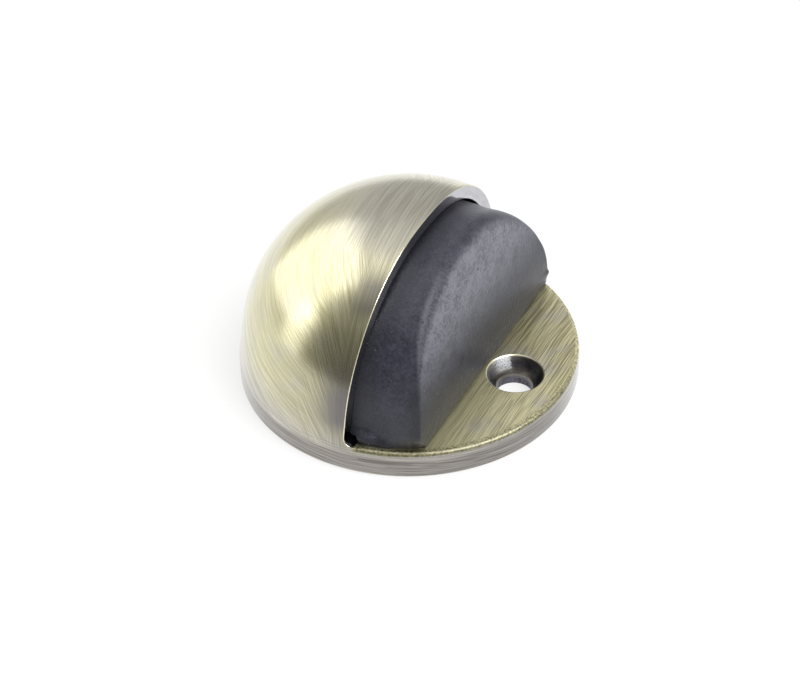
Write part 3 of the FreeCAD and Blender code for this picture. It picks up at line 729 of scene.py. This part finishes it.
# ---------------------------------------------------------------- materials
CROSSING = 4.0  # degrees between the two sets of scratches
SEED_SHIFT = 17.3  # how far apart two patterns of scratches are taken
METAL, NOT_METAL = 1.0, 0.0


class Graph:
    """Builds a node material; coordinates are the object's own, in millimetres."""

    def __init__(self, name):
        self.material = bpy.data.materials.new(name)
        self.material.use_nodes = True
        self.tree = self.material.node_tree
        self.tree.nodes.clear()
        coords = self.tree.nodes.new("ShaderNodeTexCoord")
        scaled = self.tree.nodes.new("ShaderNodeVectorMath")
        scaled.operation = "SCALE"
        scaled.inputs["Scale"].default_value = 1.0 / MM
        self.tree.links.new(coords.outputs["Object"], scaled.inputs[0])
        self.position = scaled.outputs[0]
        split = self.tree.nodes.new("ShaderNodeSeparateXYZ")
        self.tree.links.new(self.position, split.inputs[0])
        self.x, self.y, self.z = split.outputs

    def put(self, socket, value):
        if isinstance(value, bpy.types.NodeSocket):
            self.tree.links.new(value, socket)
        else:
            socket.default_value = value

    def math(self, operation, a, b=0.0, clamp=False):
        node = self.tree.nodes.new("ShaderNodeMath")
        node.operation = operation
        node.use_clamp = clamp
        for socket, value in zip(node.inputs, (a, b)):
            self.put(socket, value)
        return node.outputs[0]

    def add(self, a, b):
        return self.math("ADD", a, b)

    def mul(self, a, b):
        return self.math("MULTIPLY", a, b)

    def rest(self, a):
        """What a share leaves of the whole."""
        return self.math("SUBTRACT", 1.0, a, clamp=True)

    def hypot(self, a, b):
        return self.math("SQRT", self.add(self.mul(a, a), self.mul(b, b)))

    def blend_sum(self, *pairs):
        """Sum of value times weight."""
        total = None
        for value, weight in pairs:
            part = self.mul(value, weight)
            total = part if total is None else self.add(total, part)
        return total

    def vector(self, x, y, z):
        node = self.tree.nodes.new("ShaderNodeCombineXYZ")
        for socket, value in zip(node.inputs, (x, y, z)):
            self.put(socket, value)
        return node.outputs[0]

    def noise(self, vector, scale=1.0, detail=2.0, roughness=0.5):
        node = self.tree.nodes.new("ShaderNodeTexNoise")
        self.put(node.inputs["Vector"], vector)
        node.inputs["Scale"].default_value = scale
        node.inputs["Detail"].default_value = detail
        node.inputs["Roughness"].default_value = roughness
        return node.outputs[0]

    def step(self, value, low, high, out_low=0.0, out_high=1.0):
        node = self.tree.nodes.new("ShaderNodeMapRange")
        node.interpolation_type = "SMOOTHSTEP"
        self.put(node.inputs["Value"], value)
        node.inputs["From Min"].default_value = low
        node.inputs["From Max"].default_value = high
        node.inputs["To Min"].default_value = out_low
        node.inputs["To Max"].default_value = out_high
        return node.outputs["Result"]

    def mix(self, factor, a, b):
        node = self.tree.nodes.new("ShaderNodeMix")
        node.data_type = "RGBA"
        self.put(node.inputs[0], factor)
        for socket, value in ((node.inputs[6], a), (node.inputs[7], b)):
            if isinstance(value, tuple):
                value = (*value, 1.0)
            self.put(socket, value)
        return node.outputs[2]

    def cells(self, vector, scale):
        node = self.tree.nodes.new("ShaderNodeTexVoronoi")
        self.put(node.inputs["Vector"], vector)
        node.inputs["Scale"].default_value = scale
        return node

    def dots(self, scale, low, high):
        """Scattered round dots, 1 inside and 0 beyond the distance high."""
        return self.step(self.cells(self.position, scale).outputs["Distance"], low, high, 1.0, 0.0)

    def streaks(self, across, along, width, length, seed, detail=2.0):
        """Soft noise drawn out along one direction."""
        vector = self.vector(self.mul(across, 1.0 / width), self.mul(along, 1.0 / length), seed)
        return self.noise(vector, 1.0, detail, 0.6)

    def needles(self, across, along, width, length, seed):
        """Short straight scratches, each with its own tone."""
        shifted = self.add(self.mul(across, 1.0 / width), seed * SEED_SHIFT)
        node = self.cells(self.vector(shifted, self.mul(along, 1.0 / length), 0.0), 1.0)
        node.voronoi_dimensions = "2D"
        split = self.tree.nodes.new("ShaderNodeSeparateColor")
        self.tree.links.new(node.outputs["Color"], split.inputs[0])
        return split.outputs[0]

    def turned(self, across, along, degrees):
        """The two directions, turned by an angle."""
        c, s = math.cos(math.radians(degrees)), math.sin(math.radians(degrees))
        return self.blend_sum((across, c), (along, -s)), self.blend_sum((across, s), (along, c))

    def brushed(self, across, along, tilt, seed):
        """Crossing short scratches over broader soft bands, tilted from the across axis."""
        straight = self.turned(across, along, tilt)
        crossed = self.turned(across, along, tilt + CROSSING)
        fine = self.needles(*straight, 0.08, 4.2, seed)
        coarse = self.needles(*crossed, 0.12, 6.0, seed + CROSSING)
        broad = self.streaks(*crossed, 0.17, 9.0, seed + CROSSING)
        return self.blend_sum((fine, 0.38), (coarse, 0.32), (broad, 0.30)), broad

    def mask(self):
        """The mesh's own mask: wear on the casting, the striking face on the rubber."""
        node = self.tree.nodes.new("ShaderNodeAttribute")
        node.attribute_name = "mask"
        return node.outputs["Fac"]

    def finish(
        self, color, roughness, metallic, height=None, depth_mm=0.01, strength=1.0, tangent=None,
        **fixed,
    ):
        """Ends the graph in a shader, with a bump from height and any fixed inputs by name."""
        shader = self.tree.nodes.new("ShaderNodeBsdfPrincipled")
        if tangent is not None:
            self.put(shader.inputs["Tangent"], tangent)
        self.put(shader.inputs["Base Color"], color)
        self.put(shader.inputs["Roughness"], roughness)
        shader.inputs["Metallic"].default_value = metallic
        for name, value in fixed.items():
            shader.inputs[name.replace("_", " ")].default_value = value
        if height is not None:
            bump = self.tree.nodes.new("ShaderNodeBump")
            bump.inputs["Distance"].default_value = depth_mm * MM
            bump.inputs["Strength"].default_value = strength
            self.put(bump.inputs["Height"], height)
            self.tree.links.new(bump.outputs[0], shader.inputs["Normal"])
        output = self.tree.nodes.new("ShaderNodeOutputMaterial")
        self.tree.links.new(shader.outputs[0], output.inputs[0])
        return self.material


GOLD_DARK = (0.43, 0.40, 0.215)
GOLD_LIGHT = (0.74, 0.71, 0.46)
MAUVE_DARK = (0.33, 0.31, 0.31)
MAUVE_LIGHT = (0.62, 0.60, 0.585)
SHADE = (0.13, 0.12, 0.125)
WORN_GOLD = (0.92, 0.86, 0.62)
DOME_STRETCH = 20.0  # mm of the dome's surface to a radian of rise
RIM_STRETCH = 21.0  # mm of the rim to a radian of turn
FACE_CURVE = 0.0155  # mm that the striking face falls back to a square mm of height
LACQUER = {"Coat_Weight": 1.0, "Coat_Roughness": 0.18}


def edge_gold(g, light):
    """Bright brass with dark specks, as on the cast edge round the flange."""
    speckle = g.step(g.noise(g.position, 3.0, 2.0, 0.7), 0.36, 0.62)
    return g.mix(speckle, (0.20, 0.18, 0.085), light)


def dome_strokes(g):
    """Tone and relief of the strokes: upright by the lip, then crossing, level at the back."""
    leftward = g.mul(g.x, -1.0)
    rise = g.mul(g.math("ARCTAN2", g.z, g.hypot(g.x, g.y)), DOME_STRETCH)
    over = g.mul(g.math("ARCTAN2", g.z, leftward), DOME_STRETCH)
    behind_turn = g.mul(g.math("ARCTAN2", g.y, leftward), RIM_STRETCH)
    around = g.mul(g.math("ARCTAN2", g.y, g.math("ABSOLUTE", g.x)), RIM_STRETCH)
    layers = (
        g.brushed(g.y, over, 4.0, 1.0),
        g.brushed(g.y, over, 33.0, 2.0),
        g.brushed(rise, behind_turn, 17.0, 3.0),
        g.brushed(g.z, around, 0.0, 5.0),
    )
    drift = g.mul(g.add(g.noise(g.position, 0.2, 2.0), -0.5), 4.0)
    behind = g.add(g.add(g.y, 2.4), drift)
    crown = g.step(g.z, 22.6, 24.2)
    near = g.math("MAXIMUM", g.step(behind, 1.2, 3.6, 1.0, 0.0), crown)
    far = g.mul(g.step(behind, 4.5, 8.5), g.rest(crown))
    between = g.rest(g.add(near, far))
    rim = g.step(g.z, 2.4, 4.6, 1.0, 0.0)
    shares = [g.mul(share, g.rest(rim)) for share in (near, between, far)] + [rim]
    tone = g.blend_sum(*[(layer[0], share) for layer, share in zip(layers, shares)])
    relief = g.blend_sum(*[(layer[1], share) for layer, share in zip(layers, shares)])
    return tone, relief


def dome_greyness(g):
    """How far the plating has toned from gold to grey-violet: low down, by the crown, in patches."""
    cloud = g.noise(g.position, 0.11, 3.0)
    low = g.step(g.add(g.z, g.mul(cloud, 5.0)), 4.5, 11.0, 1.0, 0.0)
    high = g.step(g.z, 21.0, 25.0, 0.0, 0.5)
    patches = g.step(g.noise(g.position, 0.3, 3.0), 0.5, 0.72, 0.0, 0.30)
    return g.math("MAXIMUM", g.math("MAXIMUM", g.mul(low, 0.8), high), patches)


def dome_shading(g):
    """Painted reflection of a dark room beside the lip on the left, with a painted dark band under
    the crown.
    """
    by_lip = g.add(g.step(g.y, -1.5, 3.5, 0.60, 0.0), g.step(g.y, 1.0, 13.0, 0.36, 0.0))
    shaded = g.mul(by_lip, g.step(g.z, 10.0, 18.5, 1.0, 0.0))
    shaded = g.mul(shaded, g.step(g.z, 3.6, 7.5, 0.45, 1.0))
    # painted reflection: a dark band under the crown, beside the lip
    painted_dark_band = g.mul(g.step(g.z, 18.3, 20.3), g.step(g.z, 21.6, 23.4, 1.0, 0.0))
    painted_dark_band = g.mul(painted_dark_band, g.step(g.y, -1.8, 2.6, 0.72, 0.0))
    return g.mul(g.add(shaded, painted_dark_band), g.step(g.x, -6.0, 4.0, 1.0, 0.0))


def brushed_skin():
    """Antique brass brushed over the dome, worn bright on the lip's edge."""
    g = Graph("brushed antique brass")
    stroke, relief = dome_strokes(g)
    calm = g.mul(g.step(g.y, 2.0, 8.0, 0.0, 0.5), g.step(g.z, 6.0, 12.0))
    tone = g.step(stroke, 0.22, 0.78)
    tone = g.add(tone, g.mul(g.math("SUBTRACT", 0.6, tone), calm))
    gold = g.mix(tone, GOLD_DARK, GOLD_LIGHT)
    mauve = g.mix(tone, MAUVE_DARK, MAUVE_LIGHT)
    colour = g.mix(dome_greyness(g), gold, mauve)
    # painted shade and dark reflections beside the lip, on the left
    colour = g.mix(dome_shading(g), colour, SHADE)
    dull = g.mul(g.step(g.z, 23.2, 24.4, 0.0, 0.45), g.step(g.y, 4.0, 9.0, 1.0, 0.0))
    colour = g.mix(dull, colour, (0.27, 0.26, 0.245))
    rim_colour = g.mix(tone, (0.125, 0.112, 0.10), (0.325, 0.30, 0.275))
    edge = g.mul(g.step(g.z, 3.15, 3.40), g.step(g.y, -3.6, -2.9, 1.0, 0.0))
    # painted shade: the flange's front edge darkens to near black on the left
    in_shade = g.step(g.x, -1.0, 9.0, 0.68, 0.0)
    edge_colour = g.mix(in_shade, edge_gold(g, (0.78, 0.74, 0.42)), (0.09, 0.08, 0.045))
    colour = g.mix(edge, colour, edge_colour)
    rim_mask = g.step(g.z, 2.3, 3.0, 1.0, 0.0)
    colour = g.mix(g.mul(rim_mask, 0.9), colour, rim_colour)
    patchy = g.step(g.noise(g.position, 1.3, 3.0), 0.25, 0.55, 0.55, 1.0)
    worn = g.mul(g.mask(), patchy)
    colour = g.mix(worn, colour, WORN_GOLD)
    roughness = g.add(g.mul(tone, -0.04), 0.27)
    roughness = g.blend_sum((roughness, 1.0), (worn, -0.08), (edge, 0.30))
    return g.finish(colour, roughness, METAL, relief, 0.0015, 0.4, **LACQUER)


def brushed_top():
    """The flange's top face, brushed straight across."""
    g = Graph("brushed brass flange")
    drift = g.mul(g.add(g.noise(g.position, 0.09, 2.0), -0.5), 0.8)
    across = g.add(g.y, drift)
    stroke, relief = g.brushed(across, g.x, -2.5, 11.0)
    # painted light and shade: the flange's top is lighter on the left and back from its front edge,
    # darker on the right
    painted_light_tone = g.add(g.step(g.x, -15.0, 9.0, 0.30, -0.12), g.step(g.y, -15.0, -11.0, 0.0, 0.16))
    tone = g.add(g.step(stroke, 0.22, 0.78), painted_light_tone)
    colour = g.mix(tone, (0.33, 0.295, 0.145), (0.88, 0.83, 0.51))
    tarnish = g.step(g.noise(g.position, 0.2, 3.0), 0.48, 0.7, 0.0, 0.5)
    mauve = g.mix(tone, MAUVE_DARK, MAUVE_LIGHT)
    colour = g.mix(tarnish, colour, mauve)
    radius = g.hypot(g.x, g.y)
    border = edge_gold(g, (0.80, 0.76, 0.42))
    by_edge = g.mul(g.step(radius, 21.2, 21.8), g.step(g.x, -4.0, 6.0, 0.85, 0.0))
    colour = g.mix(by_edge, colour, border)
    # painted shadow: the flange's top darkened to near black under and round the rubber's foot,
    # inside radius 21.2 and behind about y = -8
    painted_shadow = g.mul(g.step(radius, 21.2, 21.5, 1.0, 0.0), g.step(g.y, -8.5, -7.0))
    colour = g.mix(g.mul(painted_shadow, 0.95), colour, (0.06, 0.06, 0.07))
    return g.finish(
        colour, g.add(g.mul(tone, -0.04), 0.38), METAL, relief, 0.0018, 0.5,
        tangent=g.vector(0.0, 1.0, 0.0), Anisotropic=0.8, **LACQUER,
    )


def satin_lip():
    """The lip's smooth grey face, with painted shade where it runs down beside the rubber."""
    g = Graph("satin lip face")
    lines = g.streaks(g.y, g.add(g.x, g.z), 0.12, 3.0, 21.0)
    speck = g.noise(g.position, 3.2, 3.0)
    mixed = g.blend_sum((lines, 0.5), (speck, 0.5))
    colour = g.mix(g.step(mixed, 0.35, 0.65), (0.40, 0.40, 0.43), (0.50, 0.50, 0.53))
    # painted shade: the face darkens low down, in the narrow gap beside the rubber
    colour = g.mix(g.step(g.z, 5.0, 10.0, 0.9, 0.0), colour, (0.12, 0.12, 0.145))
    worn = g.mask()
    colour = g.mix(worn, colour, (0.78, 0.78, 0.80))
    return g.finish(colour, 0.10, METAL, mixed, 0.003, 0.5)


def machined_hole():
    """The countersink: dark turned rings, with a painted highlight on the cone, a bright spot
    standing in for a reflection.
    """
    g = Graph("machined countersink")
    dy = g.add(g.y, -FIXING[1])
    radius = g.hypot(g.x, dy)
    angle = g.math("ARCTAN2", dy, g.x)
    rings = g.streaks(g.add(radius, g.z), g.mul(angle, 3.0), 0.11, 3.0, 31.0)
    stain = g.noise(g.position, 1.1, 3.0)
    grit = g.noise(g.position, 5.0, 2.0, 0.7)
    mixed = g.blend_sum((rings, 0.4), (stain, 0.3), (grit, 0.3))
    colour = g.mix(g.step(mixed, 0.38, 0.62), (0.032, 0.030, 0.038), (0.16, 0.155, 0.18))
    # painted highlight: a bright spot on the cone's far side, standing in for a reflection
    bearing = g.blend_sum((angle, 1.0), (stain, 0.25), (grit, 0.12))
    patch = g.mul(g.step(bearing, 0.74, 0.82), g.step(bearing, 1.32, 1.80, 1.0, 0.12))
    patch = g.mul(patch, g.mul(g.step(g.z, 1.9, 2.3), g.step(grit, 0.34, 0.56, 0.25, 1.0)))
    colour = g.mix(patch, colour, (0.56, 0.57, 0.60))
    worn = g.mask()
    colour = g.mix(worn, colour, WORN_GOLD)
    return g.finish(colour, g.add(0.30, g.mul(patch, 0.12)), METAL, mixed, 0.02, 0.9)


def raw_casting():
    """Unplated metal inside the shell and underneath."""
    g = Graph("raw casting")
    grain = g.noise(g.position, 2.6, 4.0, 0.6)
    cloud = g.noise(g.position, 0.25, 2.0)
    mixed = g.blend_sum((grain, 0.6), (cloud, 0.4))
    colour = g.mix(g.step(mixed, 0.38, 0.62), (0.16, 0.15, 0.13), (0.34, 0.32, 0.27))
    return g.finish(colour, g.step(grain, 0.3, 0.7, 0.5, 0.7), METAL, grain, 0.03, 0.7)


def moulded_rubber():
    """Black moulded rubber with a dusty mottle, fine pits and a few light specks; painted light and
    shade on the striking face, at its foot and beside the lip.
    """
    g = Graph("moulded black rubber")
    mottle = g.noise(g.position, 0.55, 4.0, 0.6)
    fine = g.noise(g.position, 2.4, 3.0, 0.75)
    dust = g.blend_sum((mottle, 0.40), (fine, 0.60))
    colour = g.mix(g.step(dust, 0.36, 0.66), (0.014, 0.015, 0.026), (0.040, 0.043, 0.062))
    pit = g.dots(0.55, 0.05, 0.12)
    speck = g.dots(0.9, 0.04, 0.08)
    front = g.mask()
    slant = g.blend_sum((g.x, 0.80), (g.z, 0.60))
    across_slant = g.blend_sum((g.x, -0.60), (g.z, 0.80))
    scratch = g.step(g.streaks(across_slant, slant, 0.16, 5.0, 51.0, 3.0), 0.58, 0.70, 0.0, 0.45)
    cover = g.add(g.step(dust, 0.36, 0.60, 0.28, 1.0), scratch)
    # scuffs and dust on the striking face, with painted light: lighter towards the leaning top,
    # where the light falls
    scuffs_and_painted_light = g.mul(g.step(g.z, 8.0, 19.0), cover)
    colour = g.mix(g.math("MINIMUM", g.mul(front, scuffs_and_painted_light), 1.0), colour, (0.160, 0.163, 0.195))
    # how far back a point lies from the striking face, which leans back above its foot
    above = g.math("MAXIMUM", g.add(g.z, -UPRIGHT_TO), 0.0)
    set_back = g.blend_sum((g.y, 1.0), (g.mul(above, above), -FACE_CURVE))
    by_front = g.step(g.add(set_back, -BUFFER_FRONT), 0.6, 2.4, 1.0, 0.0)
    # painted shade: the striking face and its rounding darken to near black towards the foot, where
    # they face the flange
    foot = g.mul(by_front, g.step(g.z, 4.0, 16.0, 0.9, 0.0))
    colour = g.mix(foot, colour, (0.007, 0.007, 0.010))
    # nearly black at the far end of the striking face, round the nib
    far_corner = g.mul(g.step(g.x, 17.9, 18.7), g.step(g.z, 7.0, 9.5, 1.0, 0.0))
    colour = g.mix(g.mul(far_corner, 0.9), colour, (0.006, 0.006, 0.008))
    # painted shade: near black along the bottom edge, where it meets the flange, and in the hollow
    # beside the lip
    low = g.step(g.z, 4.0, 5.0, 1.0, 0.0)
    painted_lip_shade = g.step(g.y, -5.6, -2.4, 0.0, 0.8)
    colour = g.mix(g.math("MAXIMUM", g.mul(low, 0.75), painted_lip_shade), colour, (0.010, 0.010, 0.014))
    colour = g.mix(g.mul(pit, 0.8), colour, (0.015, 0.015, 0.018))
    colour = g.mix(g.mul(speck, g.add(g.mul(low, 0.5), 0.25)), colour, (0.34, 0.34, 0.36))
    height = g.blend_sum((fine, 1.0), (mottle, 0.6), (pit, -0.9))
    roughness = g.step(dust, 0.3, 0.7, 0.36, 0.50)
    return g.finish(
        colour, roughness, NOT_METAL, height, 0.07, 0.8, Specular_IOR_Level=0.5, Sheen_Weight=0.36,
        Sheen_Roughness=0.30, Sheen_Tint=(0.90, 0.91, 1.0, 1.0),
    )


def turned_metal(name, dark, light, rough):
    """A turned fastening, with rings about the screw's axis."""
    g = Graph(name)
    dy = g.add(g.y, -SEAT[1])
    radius = g.hypot(g.x, dy)
    turn = g.mul(g.math("ARCTAN2", dy, g.x), 3.0)
    rings = g.streaks(g.add(radius, g.mul(g.z, 1.3)), turn, 0.14, 5.0, 41.0)
    stain = g.noise(g.position, 0.9, 3.0)
    mixed = g.blend_sum((rings, 0.6), (stain, 0.4))
    colour = g.mix(g.step(mixed, 0.36, 0.64), dark, light)
    return g.finish(colour, rough, METAL, mixed, 0.01, 0.6)


for material in (brushed_skin(), satin_lip(), brushed_top(), machined_hole(), raw_casting()):
    casting.data.materials.append(material)
buffer.data.materials.append(moulded_rubber())
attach(casting, "root")
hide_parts("body_casting")
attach(buffer, "root")
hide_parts("rubber_buffer")

insert_metal = turned_metal("turned brass insert", (0.55, 0.42, 0.20), (0.80, 0.66, 0.36), 0.30)
screw_metal = turned_metal("zinc plated screw", (0.40, 0.40, 0.42), (0.72, 0.72, 0.74), 0.28)
for node, material in (("buffer_insert", insert_metal), ("retaining_screw", screw_metal)):
    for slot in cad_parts[node].material_slots:
        slot.material = material


# ---------------------------------------------------------------- floor, light and camera
FLOOR_DROP = 0.02  # mm, so that the floor doesn't share the base's plane
WARM_WHITE = (1.0, 0.99, 0.975)
COOL_WHITE = (0.97, 0.98, 1.0)
LIGHT_AIM = (0.0, 0.0, 0.012)  # metres: half-way up the object


def make_floor():
    """A wide sheet of white paper that glows a little, so that it stays pale all over."""
    mesh = bpy.data.meshes.new("floor")
    half = 3.0
    corners = [(-half, -half, 0), (half, -half, 0), (half, half, 0), (-half, half, 0)]
    mesh.from_pydata(corners, [], [(0, 1, 2, 3)])
    floor = bpy.data.objects.new("floor", mesh)
    bpy.context.scene.collection.objects.link(floor)
    floor.location.z = -FLOOR_DROP * MM
    g = Graph("white paper")
    shade = g.noise(g.position, 0.02, 2.0)
    colour = g.mix(shade, (0.27, 0.27, 0.27), (0.29, 0.29, 0.29))
    mesh.materials.append(g.finish(
        colour, 0.9, NOT_METAL, Specular_IOR_Level=0.0, Emission_Color=(1.0, 1.0, 1.0, 1.0),
        Emission_Strength=0.68,
    ))


def toward(azimuth, elevation):
    """Unit direction away from the object; azimuth 0 is its front, and 90 its right side."""
    a, e = math.radians(azimuth), math.radians(elevation)
    return math.sin(a) * math.cos(e), -math.cos(a) * math.cos(e), math.sin(e)


def softbox(name, azimuth, elevation, roll, distance, width, height, radiance, colour):
    """A rectangular light that faces the object; distance and size are in metres."""
    data = bpy.data.lights.new(name, "AREA")
    data.shape = "RECTANGLE"
    data.size = width
    data.size_y = height
    data.energy = radiance * math.pi * width * height
    data.color = colour
    light = bpy.data.objects.new(name, data)
    direction = Vector(toward(azimuth, elevation))
    light.location = Vector(LIGHT_AIM) + direction * distance
    light.rotation_mode = "QUATERNION"
    aim = (-direction).to_track_quat("-Z", "Y")
    light.rotation_quaternion = aim @ Quaternion((0, 0, 1), math.radians(roll))
    bpy.context.scene.collection.objects.link(light)


WORLD_BASE = 0.60
WORLD_ZONES = (
    # azimuth, elevation, inner and outer angle, strength added
    (-103.0, 16.0, 20.0, 50.0, -0.40),   # the dark side of the room, beside the camera
    (146.0, 72.0, 8.0, 40.0, 0.58),      # a bright ceiling behind the dome
    (126.0, 32.0, 5.0, 30.0, 0.12),      # and a paler wall
)


def make_world():
    """An even pale room with soft darker and brighter zones, for the brass to reflect."""
    world = bpy.data.worlds.new("studio")
    bpy.context.scene.world = world
    world.use_nodes = True
    tree = world.node_tree
    background = tree.nodes["Background"]
    coords = tree.nodes.new("ShaderNodeTexCoord")
    total = None
    for azimuth, elevation, inner, outer, amount in WORLD_ZONES:
        dot = tree.nodes.new("ShaderNodeVectorMath")
        dot.operation = "DOT_PRODUCT"
        tree.links.new(coords.outputs["Generated"], dot.inputs[0])
        dot.inputs[1].default_value = toward(azimuth, elevation)
        ramp = tree.nodes.new("ShaderNodeMapRange")
        ramp.interpolation_type = "SMOOTHSTEP"
        tree.links.new(dot.outputs["Value"], ramp.inputs["Value"])
        ramp.inputs["From Min"].default_value = math.cos(math.radians(outer))
        ramp.inputs["From Max"].default_value = math.cos(math.radians(inner))
        ramp.inputs["To Max"].default_value = amount
        plus = tree.nodes.new("ShaderNodeMath")
        plus.operation = "ADD"
        tree.links.new(ramp.outputs["Result"], plus.inputs[0])
        if total is None:
            plus.inputs[1].default_value = WORLD_BASE
        else:
            tree.links.new(total, plus.inputs[1])
        total = plus.outputs[0]
    background.inputs["Color"].default_value = (1.0, 0.99, 0.97, 1.0)
    tree.links.new(total, background.inputs["Strength"])


make_world()
softbox("key softbox", -179.0, 32.0, roll=20.0, distance=0.42, width=0.44, height=0.42,
        radiance=1.28, colour=WARM_WHITE)
softbox("low wing", -149.0, 12.0, roll=0.0, distance=0.50, width=0.16, height=0.30,
        radiance=1.05, colour=WARM_WHITE)
softbox("front softbox", -5.0, 54.0, roll=0.0, distance=0.60, width=0.40, height=0.40,
        radiance=6.2, colour=COOL_WHITE)
make_floor()

scene = bpy.context.scene
scene.view_settings.view_transform = "Standard"

VIEW = (-62.495, 39.494)  # degrees: the camera's azimuth and elevation
VIEW_ROLL = -0.756  # degrees
VIEW_DISTANCE = 272.135  # mm from the object's origin
VIEW_SHIFT = (-1.258, 3.067)  # mm across and up the picture
SENSOR_WIDTH = 36.0
LENS = 91.789875  # mm, on that sensor


def make_camera():
    """The camera: to the left, in front and above, facing the origin but for the shift."""
    azimuth, roll = math.radians(VIEW[0]), math.radians(VIEW_ROLL)
    back = np.array(toward(*VIEW))
    right = np.array([math.cos(azimuth), math.sin(azimuth), 0.0])
    up = np.cross(back, right)
    right_rolled = right * math.cos(roll) + up * math.sin(roll)
    up_rolled = up * math.cos(roll) - right * math.sin(roll)
    shift = right_rolled * VIEW_SHIFT[0] + up_rolled * VIEW_SHIFT[1]
    place = (back * VIEW_DISTANCE + shift) * MM
    data = bpy.data.cameras.new("camera")
    data.sensor_width = SENSOR_WIDTH
    data.lens = LENS
    data.clip_start = 0.01
    camera = bpy.data.objects.new("camera", data)
    camera.matrix_world = Matrix([
        [right_rolled[i], up_rolled[i], back[i], place[i]] for i in range(3)
    ] + [[0, 0, 0, 1]])
    scene.collection.objects.link(camera)
    scene.camera = camera


make_camera()
